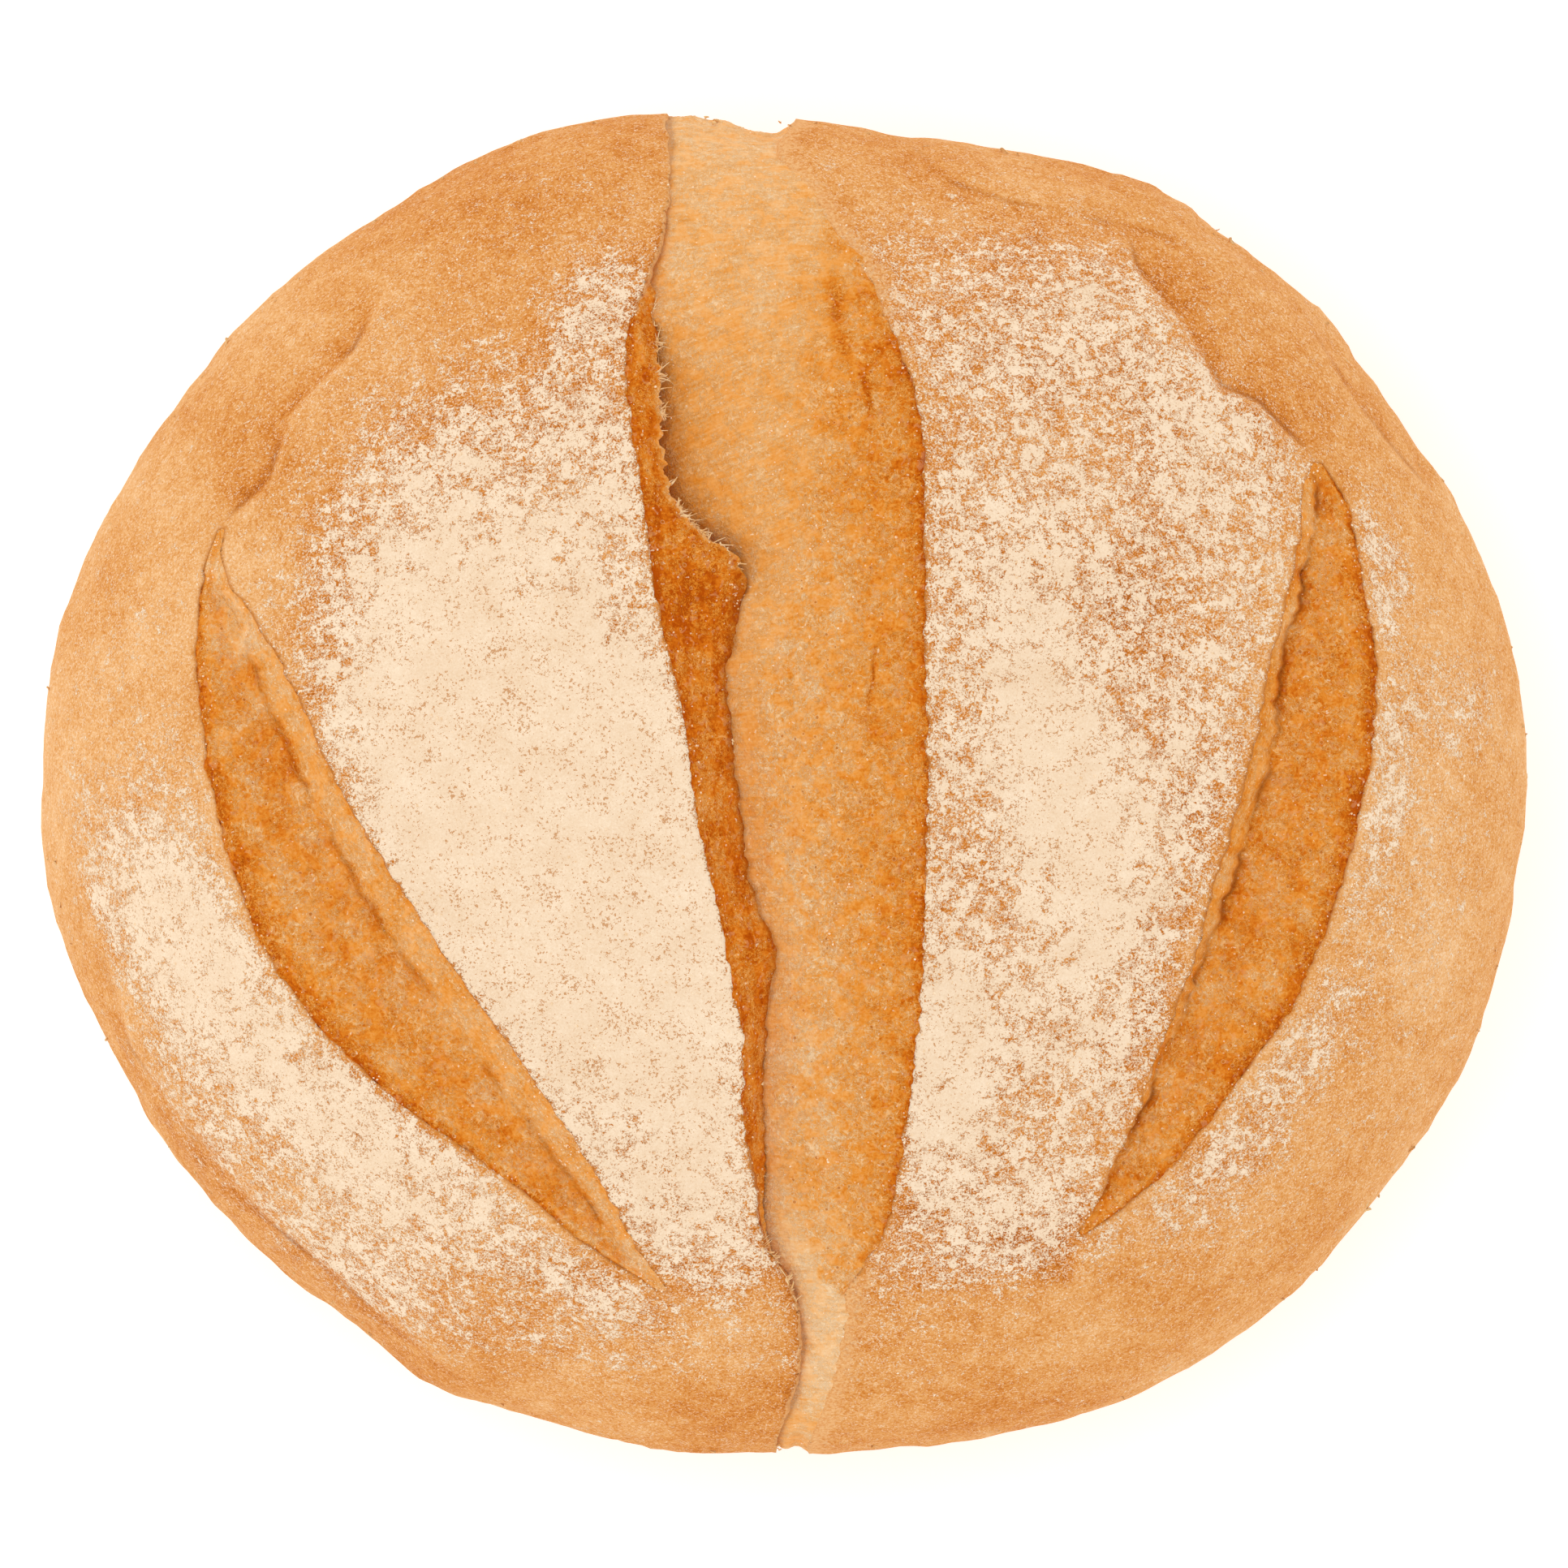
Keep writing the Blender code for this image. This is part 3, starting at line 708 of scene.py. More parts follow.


# %% [markdown]
# The middle slash has two sheets. On its left a narrow wall of dark, dry crumb hangs down from the lip and
# ends in a ragged edge. Under that edge starts the wide floor, which bulges up to the right lip. The gap
# between the two is the crack. Its shadow is real, and painted shade on both sheets darkens it further.

# %% Places along the middle slash, over the rim too
RIM_BEARINGS = np.radians(np.linspace(40.0, 140.0, 400))
UNDER_WAIST, SHEET_DIVE, FIRST_REACH = 1.18, 2.0, 92.0


def rim_reach(x, end):
    """How far the outline reaches in y at each x, at the +Y end or the -Y end."""
    bearing = RIM_BEARINGS * end
    reach = outline_scale(bearing)
    edge_x, edge_y = reach * np.cos(bearing), reach * np.sin(bearing)
    order = np.argsort(edge_x)
    return np.interp(x, edge_x[order], np.abs(edge_y[order]))


def along_middle(x, v):
    """Plan y and the ball's points for places along the middle slash: v is -1 and 1 at the waist."""
    y = np.sin(v * math.pi / 2) * np.where(v > 0, rim_reach(x, 1), rim_reach(x, -1))
    return y, ball_of_plan(x, y, np.abs(v) <= 1)


def middle_rows(share):
    """Evenly spread places along the middle slash, from below the waist at one end to the other."""
    return (share * 2 - 1) * UNDER_WAIST


def rim_dip(x, y):
    """How far the crumb lies back from the crust beside it, where the middle slash runs over the rim."""
    at_top = (0.9 + 1.2 * smooth_step(-9.0, -3.0, x)) * smooth_step(-13.5, -10.0, x)
    at_top = at_top * (1 - smooth_step(-1.0, 3.0, x))
    at_bottom = 1.1 * np.exp(-(((x - 2.0) / 1.3) ** 2))
    return at_top * smooth_step(83.0, 89.0, y) + at_bottom * smooth_step(-82.0, -89.0, y)


FLAP_Y = (24.0, 34.0, 54.0, 66.0)


def flap_at(y):
    """1 where the wall hangs over as a torn flap, 0 elsewhere."""
    return smooth_step(FLAP_Y[0], FLAP_Y[1], y) * (1 - smooth_step(FLAP_Y[2], FLAP_Y[3], y))


def torn_edge(y):
    """The wall's free edge: the crack, more ragged on the flap."""
    fringe = 0.75 * wave(y, 1.7, 31.0) + 0.45 * wave(y, 0.7, 37.0)
    return ragged_line(MIDDLE, 2, y) + fringe * (0.3 + flap_at(y))


# %% The floor of the middle slash
PALE_Y = (-92.0, -70.5, -67.5, -60.6, -54.0, -45.0, -20.0, 0.0, 20.0, 36.0, 50.0, 62.0, 72.0, 79.0, 92.0)
PALE_SHARE = (1.3, 1.2, 0.42, 0.30, 0.17, 0.18, 0.15, 0.14, 0.22, 0.40, 0.50, 0.58, 0.74, 1.1, 1.3)
FIBRE_TURN_Y = (-92.0, 14.0, 34.0, 56.0, 74.0, 92.0)
FIBRE_TURN = (0.0, 0.03, 0.38, 0.42, 0.06, 0.0)
floor, u, v = crumb_grid("crumb_floor", 100, 900)
v = middle_rows(v)
y = np.sin(v * math.pi / 2) * FIRST_REACH
for _ in range(3):
    crack_x, right_x = ragged_line(MIDDLE, 2, y), ragged_line(MIDDLE, 3, y)
    start = np.maximum(crack_x - 3.0, ragged_line(MIDDLE, 1, y) - 0.9)
    x = start + u * (right_x + TUCK - start)
    y, ball = along_middle(x, v)
plain, normal = form_and_normal(ball)
crack_x, right_x = ragged_line(MIDDLE, 2, y), ragged_line(MIDDLE, 3, y)
share = np.clip((right_x - x) / (right_x - crack_x), 0, 1)
t = 1 - share
depth = DEPTH_SHARE * smooth_line(MIDDLE, 4, y) * (0.76 + 0.24 * flap_at(y))
merged = merge_at(MIDDLE, y)
step = FLOOR_SINK_SHARE * depth * 0.3 * (1 - merged)
opened = smooth_step(0.0, TIP_WIDTH, right_x - ragged_line(MIDDLE, 1, y))
sink = (depth - step) * share ** (FLOOR_ROLL - 0.3) + step * (1 - (1 - share) ** FLOOR_EDGE)
sink += 1.6 * np.clip((crack_x - x) / 3.0, 0, 1) + 1.2 * flap_at(y) * smooth_step(0.55, 1.0, share)
fade = smooth_step(SIDE_FADE_START, SIDE_FADE_END, plain[:, 2])
pale_until = np.interp(y, PALE_Y, PALE_SHARE)
edge_noise = 0.12 * rough(plain, 5.0, 40.0) + 0.07 * rough(plain, 1.6, 41.0)
upper = smooth_step(28.0, 44.0, y)
torn = 1 - smooth_step(pale_until - 0.05, pale_until + 0.05 + 0.20 * upper, t + edge_noise)
ends = np.minimum(1.0, (right_x - crack_x) / 8.0)
grain, walls = crumb_relief(plain, 50.0)
fibre_u, fibre_v = y - np.interp(y, FIBRE_TURN_Y, FIBRE_TURN) * x, x
in_fibres = np.column_stack((fibre_u, fibre_v * 0.22, 0 * y))
fibres = rough(in_fibres, 1.5, 60.0) + 0.7 * rough(in_fibres, 0.7, 64.0)
holes = pores(plain, 60, 0.3, 0.7, 5) * (1 - 0.8 * torn)
sink *= 1 - 0.8 * smooth_step(79.0, 87.0, y)
relief = skin_relief(plain) - sink * opened * fade - rim_dip(x, y)
relief += ends * fade * (grain * (1 - 0.55 * torn) + 0.16 * fibres * torn - 0.15 * holes)
relief += 0.35 * upper * fade * rough(in_fibres * [1.0, 2.0, 1.0], 2.6, 44.0)
relief += LIP_RISE * (1 - 0.8 * merged) * 0.5 * opened * fade * np.exp(-np.abs(x - right_x) / 3.0)
relief -= TUCK_DEPTH * np.clip((x - right_x) / TUCK, 0, 1) * (1 - 0.75 * merged)
relief -= SHEET_DIVE * smooth_step(SHEET_END + 5.0, SHEET_END, plain[:, 2])
SEAMS = ((8.2, -0.1, 57.0, 72.0, 1.2), (11.4, 0.11, 7.0, 20.0, 0.3), (12.0, -0.10, 48.0, 58.0, 0.6))
seams = 0.0
for seam_x, seam_lean, low, high, width in SEAMS:
    off = x - (seam_x + seam_lean * (y - low)) - 0.5 * rough(plain, 3.0, 22.0)
    on_seam = np.exp(-((off / width) ** 2)) * smooth_step(low, low + 4, y)
    seams = seams + on_seam * (1 - smooth_step(high - 4, high, y))
relief -= 0.35 * seams * fade
place_points(floor, settle(plain + normal * relief[:, None]))
browned = 0.24 * smooth_step(np.minimum(pale_until - 0.1, 0.9), 1.0, t + edge_noise)
tone = 0.42 + browned * smooth_step(1.1, 0.9, pale_until)
tone += 0.12 * smooth_step(0.86, 1.0, t) * (1 - merged)
tone += (
    0.06 * upper * (1 - torn) - 0.02 * torn * smooth_step(10.0, -10.0, y)
    - 0.17 * smooth_step(-54.0, -66.0, y)
)
# The term beside the crack under the flap makes it darker: painted shade of the flap.
tone += (
    0.14 * upper * torn * flap_at(y) * smooth_step(0.7, 1.0, share) - 0.03 * smooth_step(40.0, 56.0, y)
    - 0.06 * smooth_step(60.0, 72.0, y)
)
tone -= 0.05 * smooth_step(80.0, 88.0, y) + 0.04 * smooth_step(-16.0, -30.0, y)
tone += 0.16 * (1 - torn) * smooth_step(-58.0, -66.0, y) + 0.16 * smooth_step(-82.0, -88.0, y)
# Holes are darker: painted shade in them.
tone = tone + 0.3 * seams + 0.15 * holes - 0.12 * walls * (0.4 + 0.6 * (1 - torn))
store(floor, "tone", tone - 0.06 * big_bubbles(plain))
store(floor, "torn", torn)
store(floor, "fibre_u", fibre_u / 1000)
store(floor, "fibre_v", fibre_v / 1000)
# Painted shade: a dark line along the crack, and more under the wall's overhanging edge, kept on the points as
# crack.
shade_under_wall = smooth_step(-0.15, -0.6, x - crack_x)
shade_under_wall = shade_under_wall * smooth_step(0.4, 2.0, crack_x - ragged_line(MIDDLE, 1, y))
crack_shade = np.maximum(0.4 * np.exp(-np.maximum(x - crack_x, 0) / 0.3), shade_under_wall)
store(floor, "crack", crack_shade * (1 - 0.75 * flap_at(y)))
from_edge, past_crack = np.abs(x - right_x) + 9.0 * merged, x > crack_x + 0.8
store(floor, "edge", from_edge)
crumb_edges = [(points_of(floor)[past_crack], from_edge[past_crack])]
close_body(floor)
print("floor has", len(floor.data.polygons), "triangles")

# %% The wall of the middle slash
TOP_SHARE = 0.84
wall, u, v = crumb_grid("crumb_wall", 60, 900)
v = middle_rows(v)
top = np.clip(u / TOP_SHARE, 0, 1)
under = np.clip((u - TOP_SHARE) / (1 - TOP_SHARE), 0, 1)
y = np.sin(v * math.pi / 2) * FIRST_REACH
for _ in range(3):
    left_x, edge_x = ragged_line(MIDDLE, 1, y), torn_edge(y)
    start = left_x - TUCK
    x = start + top * (np.maximum(edge_x, left_x + 0.15) - start) - 2.6 * under
    y, ball = along_middle(x, v)
plain, normal = form_and_normal(ball)
left_x, edge_x = ragged_line(MIDDLE, 1, y), torn_edge(y)
depth = DEPTH_SHARE * smooth_line(MIDDLE, 4, y)
opened = smooth_step(0.0, TIP_WIDTH, ragged_line(MIDDLE, 3, y) - left_x)
fade = smooth_step(SIDE_FADE_START, SIDE_FADE_END, plain[:, 2])
down = np.clip((x - left_x) / np.maximum(edge_x - left_x, 0.3), 0, 1)
broad = smooth_step(0.5, 3.0, edge_x - left_x)
edge_depth = depth * (0.76 - 0.36 * flap_at(y)) * broad
fall = np.where(under > 0, 1.0, down ** (1.1 + 0.5 * flap_at(y)))
grain, walls = crumb_relief(plain * [1.0, 0.5, 1.0], 70.0)
holes = pores(plain, 40, 0.3, 0.7, 6)
relief = skin_relief(plain) - fade * opened * (edge_depth * fall + 0.2)
relief += fade * broad * (0.7 * grain * (1 - under) - 0.15 * holes)
relief += LIP_RISE * (1 - 0.8 * merge_at(MIDDLE, y)) * opened * fade * np.exp(-np.abs(x - left_x) / 1.0)
relief -= fade * (0.6 * np.sqrt(np.clip(under * 3, 0, 1)) + 0.8 * under) + 2.5 * (1 - broad)
relief -= TUCK_DEPTH * np.clip((left_x - x) / TUCK, 0, 1)
relief -= SHEET_DIVE * smooth_step(SHEET_END + 5.0, SHEET_END, plain[:, 2])
place_points(wall, settle(plain + normal * relief[:, None]))
flap = flap_at(y)
rim = smooth_step(0.0, 1.0, (x - edge_x + 1.3) / 1.3) * flap
streaks = rough(np.column_stack((x * 1.6, y * 0.35, 0 * y)), 2.2, 33.0)
tone = 0.80 + 0.20 * streaks + 0.04 * flap - 0.40 * rim - 0.5 * smooth_step(-56, -66, y)
tone -= 0.40 * smooth_step(64, 72, y)
tone += 0.16 * np.exp(-(((y - 25.0) / 5.0) ** 2)) - 0.06 * smooth_step(-20, -50, y)
# Holes and the underside curled beneath the edge are darker: painted shade.
store(wall, "tone", tone + 0.15 * holes - 0.10 * walls + 0.3 * (under > 0))
store(wall, "torn", 0.5 * rim)
store(wall, "fibre_u", (x - left_x) / 1000)
store(wall, "fibre_v", y / 1000)
# Painted shade on the curled underside and near the wall's edge, but not on the flap.
store(wall, "crack", np.where(under > 0.1, 1.0, 0.5 * smooth_step(0.8, 1.0, down)) * (1 - flap) * broad)
from_edge, facing = np.abs(x - left_x) + 9.0 * (1 - broad), under == 0
store(wall, "edge", from_edge)
on_rim = np.abs(u - TOP_SHARE) < 0.02
wall_rim, wall_rim_y = points_of(wall)[on_rim], y[on_rim]
crumb_edges.append((points_of(wall)[facing], from_edge[facing]))
close_body(wall)
print("wall has", len(wall.data.polygons), "triangles")

# %% [markdown]
# The outer slashes are narrower, and one sheet does for each. Beside the cut edge runs a smooth band, where
# the blade went in flat. Below it the crumb tore: a narrow groove, and then a floor that rises to the other
# lip. The groove is sharp in the right slash, and soft and broken in the left one.

# %% The crumb of the outer slashes
def outer_crumb(name, stations, floor_side, across, along, groove, seed):
    """A sheet of crumb over one outer slash, tucked under its lips."""
    piece, u, v = crumb_grid(name, across, along)
    low, high = stations[-1][0], stations[0][0]
    y = low + v * (high - low)
    left_x, right_x = ragged_line(stations, 1, y) - TUCK, ragged_line(stations, 3, y) + TUCK
    x = left_x + u * (right_x - left_x)
    plain, normal = form_and_normal(ball_of_plan(x, y))
    left_x, crack_x, right_x = (ragged_line(stations, column, y) for column in (1, 2, 3))
    band_x, floor_x = (right_x, left_x) if floor_side == "left" else (left_x, right_x)
    on_band = (x - crack_x) * (floor_x - crack_x) < 0
    band = np.clip((x - band_x) / (crack_x - band_x), 0, 1)
    t = np.clip((x - crack_x) / (floor_x - crack_x), 0, 1)
    depth = DEPTH_SHARE * smooth_line(stations, 4, y)
    opened = smooth_step(0.0, TIP_WIDTH, right_x - left_x)
    wide = smooth_step(1.0, 7.0, right_x - left_x)
    away = np.abs(x - crack_x) / np.sqrt(1 + lean_of(stations, 2, y) ** 2)
    # How broken the groove is, how softly the floor starts, the floor's first tone, and how dark the painted
    # shade in the groove is
    least, usual, soft, first_tone, groove_shade = (
        (0.0, 0.35, 2.6, 0.45, 0.3) if floor_side == "left" else (0.3, 0.75, 0.7, 0.50, 0.7)
    )
    broken = np.clip(usual + rough(plain, 6.0, seed) * 1.8, least, 1)
    sink = np.where(on_band, depth * (0.14 + 0.5 * band**1.4), depth * (1 - 0.98 * smooth_step(0.0, 0.9, t)))
    deepest = depth * (0.64 + 0.36 * broken * smooth_step(0, 0.8, away))
    sink = np.where(on_band, sink, np.minimum(sink, deepest))
    grain, walls = crumb_relief(plain, 10.0 * seed)
    holes = pores(plain, 60, 0.3, 0.8, seed)
    smooth_band = np.where(on_band, 0.35, 1.0)
    relief = skin_relief(plain) - opened * sink - 0.06
    cut = groove * wide * broken * np.exp(-((away / 0.55) ** 2))
    relief += wide * (grain * smooth_band - 0.15 * holes) - cut
    relief += LIP_RISE * opened * np.exp(-np.abs(x - band_x) / 1.5)
    outside = np.maximum(left_x - x, x - right_x) / TUCK
    relief -= TUCK_DEPTH * np.clip(outside, 0, 1)
    place_points(piece, settle(plain + normal * relief[:, None]))
    past_crack = (x - crack_x) * np.sign(floor_x - crack_x)
    on_floor = smooth_step(-0.5 * soft, soft, past_crack + (0.5 + 0.6 * soft) * rough(plain, 3.0, seed + 1.0))
    tone = first_tone + on_floor * (0.15 + 0.30 * smooth_step(0.74, 1.0, t))
    tone = tone + 0.13 * rough(plain, 5.0, seed + 2.0)
    # Darker beside the groove where it is broken: painted shade.
    tone = tone + 0.20 * broken * np.exp(-((away / 0.9) ** 2))
    tone -= 0.14 * smooth_step(8.0, 22.0, y) * (floor_side == "left") + 0.12 * smooth_step(-50.0, -66.0, y)
    # Holes are darker: painted shade in them.
    store(piece, "tone", tone + 0.15 * holes - 0.12 * walls - 0.12 * big_bubbles(plain))
    store(piece, "torn", 0.45 * (1 - on_floor))
    store(piece, "fibre_u", (x - crack_x) / np.sqrt(1 + lean_of(stations, 2, y) ** 2) / 1000)
    store(piece, "fibre_v", y * 1.15 / 1000)
    # Painted shade in the groove.
    store(piece, "crack", groove_shade * wide * broken * np.exp(-((away / 0.4) ** 2)))
    store(piece, "edge", np.abs(x - band_x))
    from_lips = np.minimum(np.abs(x - left_x), np.abs(x - right_x))
    crumb_edges.append((points_of(piece)[outside < 0], from_lips[outside < 0]))
    close_body(piece, 0.96)
    print(name, "has", len(piece.data.polygons), "triangles")
    return piece


left_crumb = outer_crumb("crumb_left", LEFT, "left", 100, 500, 0.5, 12)
right_crumb = outer_crumb("crumb_right", RIGHT, "right", 80, 460, 1.5, 13)

# %% [markdown]
# ## Fringe, flakes and grains
#
# Torn bread ends in threads, thin flakes of crust stand up at the edge, and grains of flour and sugary crumbs
# lie loose. Each is modelled once, small and plain, and copied to many places with its own turn and size.

# %% Copies of a small shape
def surface_of_crust(x, y):
    """Points on the crust over a plan position, in form millimetres, and the way straight out of it."""
    plain, normal = form_and_normal(ball_of_plan(x, y))
    relief = skin_relief(plain)
    for stations, floor_side in SLASHES:
        relief += np.where(closest_lip(plain) < 0, slash_relief(plain, stations, floor_side), 0.0)
    return plain + normal * relief[:, None], normal


def copies(name, model, places, axes, sizes, bends):
    """One piece of many copies of a model: each with its place, its long axis, its size and its bend."""
    shape = points_of(model)
    faces = [tuple(face.vertices) for face in model.data.polygons]
    bpy.data.objects.remove(model)
    axes = axes / np.linalg.norm(axes, axis=1, keepdims=True)
    side = np.cross(axes, rng.normal(size=axes.shape))
    side /= np.linalg.norm(side, axis=1, keepdims=True)
    third = np.cross(axes, side)
    scaled = shape[None] * sizes[:, None, :]
    scaled[:, :, 0] += bends[:, None] * shape[None, :, 2] ** 2
    points = (
        places[:, None] + scaled[:, :, :1] * side[:, None] + scaled[:, :, 1:2] * third[:, None]
        + scaled[:, :, 2:] * axes[:, None]
    ).reshape(-1, 3)
    mesh = bpy.data.meshes.new(name)
    mesh.from_pydata(settle(points).tolist(), [], [
        tuple(corner + k * len(shape) for corner in face) for k in range(len(places)) for face in faces
    ])
    piece = bpy.data.objects.new(name, mesh)
    bpy.context.scene.collection.objects.link(piece)
    mesh.shade_smooth()
    print(name, "has", len(places), "copies and", triangles(piece), "triangles")
    return piece


def unsettle(points):
    """Back from metres on the piece to the form's millimetres."""
    return (points * 1000 - loaf_middle) / squeeze + dressed_middle


# %% Threads of the torn flap
bpy.ops.object.select_all(action="DESELECT")
bpy.ops.mesh.primitive_circle_add(vertices=5, radius=1.0, fill_type="NGON")
thread = bpy.context.object
edit(thread)
bpy.ops.mesh.select_all(action="SELECT")
for _ in range(4):
    bpy.ops.mesh.extrude_region_move(TRANSFORM_OT_translate={"value": (0.0, 0.0, 0.25)})
    bpy.ops.transform.resize(value=(0.74, 0.74, 1.0))
bpy.ops.mesh.select_all(action="SELECT")
bpy.ops.mesh.normals_make_consistent(inside=False)
bpy.ops.object.mode_set(mode="OBJECT")

FLAP_THREADS, CRACK_THREADS, END_THREADS = 170, 60, 50
on_flap = unsettle(wall_rim[(wall_rim_y > 28) & (wall_rim_y < 66)])
on_wall = unsettle(wall_rim[(wall_rim_y > -55) & (wall_rim_y < 28)])
tufts = np.array([65.3, 60.0, 56.0, 50.5, 37.5, 36.0, 34.5, 33.0])
near_tuft = np.exp(-(((on_flap[:, 1:2] - tufts) / 0.8) ** 2)).sum(axis=1) + 0.04
flap_roots = on_flap[rng.choice(len(on_flap), FLAP_THREADS, p=near_tuft / near_tuft.sum())]
crack_roots = on_wall[rng.choice(len(on_wall), CRACK_THREADS)]
end_y = rng.uniform(-71.0, -61.0, END_THREADS)
end_roots = surface_of_crust(ragged_line(MIDDLE, 1, end_y) - 0.2, end_y)[0] - [0.0, 0.0, 0.5]
roots = np.concatenate((flap_roots, crack_roots, end_roots))
way = rng.normal(0.0, 1.0, roots.shape) * [0.45, 0.9, 0.4] + [0.8, 0.1, 0.35]
length = np.concatenate((
    rng.uniform(0.5, 1.3, FLAP_THREADS) * rng.choice([1.0, 1.5], FLAP_THREADS, p=(0.75, 0.25)),
    rng.uniform(0.3, 0.7, CRACK_THREADS),
    rng.uniform(0.6, 1.8, END_THREADS),
))
thick = rng.uniform(0.07, 0.20, len(roots))
ribbon = thick * rng.choice([1.0, 2.6], len(roots), p=(0.6, 0.4))
threads = copies(
    "threads", thread, roots - 0.2 * way, way,
    np.column_stack((ribbon, thick, length)), rng.normal(0, 0.8, len(roots)) * length,
)

# %% Flakes of crust at the edge
def at_rim(bearing, reach):
    """Points on the crust at each bearing and reach, the way out of it, and the way around the loaf."""
    roots, out = surface_of_crust(reach * np.cos(bearing), reach * np.sin(bearing))
    return roots, out, np.column_stack((-np.sin(bearing), np.cos(bearing), 0 * bearing))


bpy.ops.mesh.primitive_grid_add(x_subdivisions=5, y_subdivisions=5, size=1.0)
flake = bpy.context.object
flat = points_of(flake)
taper = 1 - 0.55 * (flat[:, 1] + 0.5)
uneven = 0.25 * rough(flat * 2.0, 1.0, 77.0)
place_points(flake, np.column_stack((flat[:, 0] * taper, uneven, flat[:, 1] + 0.5 + uneven)))
bpy.ops.object.modifier_add(type="SOLIDIFY")
flake.modifiers[-1].thickness = 0.1
bpy.ops.object.modifier_apply(modifier=flake.modifiers[-1].name)
# The largest flakes: the column and row of each in the photo, in pixels, and its size in millimetres
FLAKES = (
    (735, 146, 1.4), (1240, 190, 2.0), (1256, 192, 1.3), (1272, 196, 1.0), (272, 420, 2.0),
    (124, 1276, 1.5), (1684, 1494, 2.0), (1744, 1420, 1.8), (455, 268, 1.2), (66, 850, 1.3),
    (66, 1052, 1.2), (1840, 1192, 1.3), (455, 1632, 1.8), (470, 1648, 1.3), (1590, 1612, 1.4),
    (640, 178, 1.2), (590, 200, 1.2), (1525, 292, 1.8), (1640, 390, 1.3), (1864, 890, 1.3),
    (1380, 1716, 1.2), (1000, 158, 1.4), (205, 1418, 1.2), (1815, 1262, 1.2),
)
OUTLINE_PIXELS, PHOTO_MIDDLE, SMALL_FLAKES = 1832, 964.5, 200
MM_PER_PIXEL = WIDTH / OUTLINE_PIXELS
flake_xy = (np.array(FLAKES)[:, :2] - PHOTO_MIDDLE) * MM_PER_PIXEL * [1, -1]
flake_bearing = np.arctan2(flake_xy[:, 1], flake_xy[:, 0])
flake_roots, flake_out, around = at_rim(flake_bearing, outline_scale(flake_bearing) * 0.995)
turn = around * rng.choice([-1.0, 1.0], len(FLAKES))[:, None] * 0.9
flake_way = flake_out * 0.8 + turn + rng.normal(0, 0.15, (len(FLAKES), 3))
flake_length = np.array(FLAKES)[:, 2] * 0.65
small_bearing = rng.uniform(-math.pi, math.pi, SMALL_FLAKES)
small_reach = outline_scale(small_bearing) * rng.uniform(0.985, 0.9995, SMALL_FLAKES)
small_roots, small_out, around = at_rim(small_bearing, small_reach)
turn = around * rng.choice([-1.0, 1.0], SMALL_FLAKES)[:, None]
small_way = small_out * 0.35 + turn + rng.normal(0, 0.15, (SMALL_FLAKES, 3))
small_length = rng.uniform(0.4, 0.9, SMALL_FLAKES)
flake_roots, flake_out = np.concatenate((flake_roots, small_roots)), np.concatenate((flake_out, small_out))
flake_way, flake_length = np.concatenate((flake_way, small_way)), np.concatenate((flake_length, small_length))
flakes = copies(
    "flakes", flake, flake_roots - 0.3 * flake_out, flake_way,
    np.column_stack((flake_length * 0.7, flake_length * 1.6, flake_length)),
    rng.normal(0, 0.25, len(flake_length)) * flake_length,
)

# %% Grains of flour, and sugary crumbs
FLOUR_GRAINS, LIP_CRUMBS, FLOOR_CRUMBS = 3400, 420, 460
bpy.ops.mesh.primitive_ico_sphere_add(subdivisions=1, radius=1.0)
grain_model = bpy.context.object
spot = rng.uniform(-100.0, 100.0, (90000, 2)) * [1.0, 0.9]
spot = spot[np.hypot(*spot.T) < outline_scale(np.arctan2(spot[:, 1], spot[:, 0])) * 0.93]
spot_plain = loaf_form(ball_of_plan(spot[:, 0], spot[:, 1]))
spot_inside = closest_lip(spot_plain)
likely = flour_at(spot_plain, spot_inside)
likely = likely * (1.05 - likely) + 0.5 * likely * np.exp(-np.abs(spot_inside) / 0.8)
chosen = np.nonzero(rng.random(len(spot)) < likely * FLOUR_GRAINS / likely.sum())[0]
grain_places, grain_out = surface_of_crust(spot[chosen, 0], spot[chosen, 1])
grain_sizes = rng.uniform(0.09, 0.2, (len(chosen), 1)) * rng.uniform(0.7, 1.3, (len(chosen), 3))
flour_grains = copies(
    "flour_grains", grain_model, grain_places,
    grain_out + rng.normal(0, 0.4, grain_out.shape), grain_sizes, np.zeros(len(chosen)),
)

bpy.ops.mesh.primitive_ico_sphere_add(subdivisions=1, radius=1.0)
crumb_model = bpy.context.object
by_lip = np.concatenate([points[(edge > 0.2) & (edge < 1.6)] for points, edge in crumb_edges])
SUGAR_SPOTS = (
    (-6.5, 25.0, 2.0), (5.0, -19.0, 2.2), (10.5, -20.0, 2.5), (9.0, -14.0, 2.0), (-62.0, 5.0, 2.5),
    (-51.0, -15.0, 2.0), (-36.0, -38.0, 2.0), (-29.0, -50.0, 2.2), (4.0, 33.0, 2.5), (-1.0, 48.0, 3.5),
    (6.0, -52.0, 2.0),
)
crumb_field = np.concatenate([points for points, _ in crumb_edges])
near_spot = sum(
    np.exp(-(((crumb_field[:, :2] * 1000 - [x, y]) / size) ** 2).sum(axis=1)) for x, y, size in SUGAR_SPOTS
) + 0.012
crumb_places = unsettle(np.concatenate((
    by_lip[rng.choice(len(by_lip), LIP_CRUMBS)],
    crumb_field[rng.choice(len(crumb_field), FLOOR_CRUMBS, p=near_spot / near_spot.sum())],
)))
crumb_sizes = rng.uniform(0.07, 0.19, (len(crumb_places), 1)) * rng.uniform(0.6, 1.4, (len(crumb_places), 3))
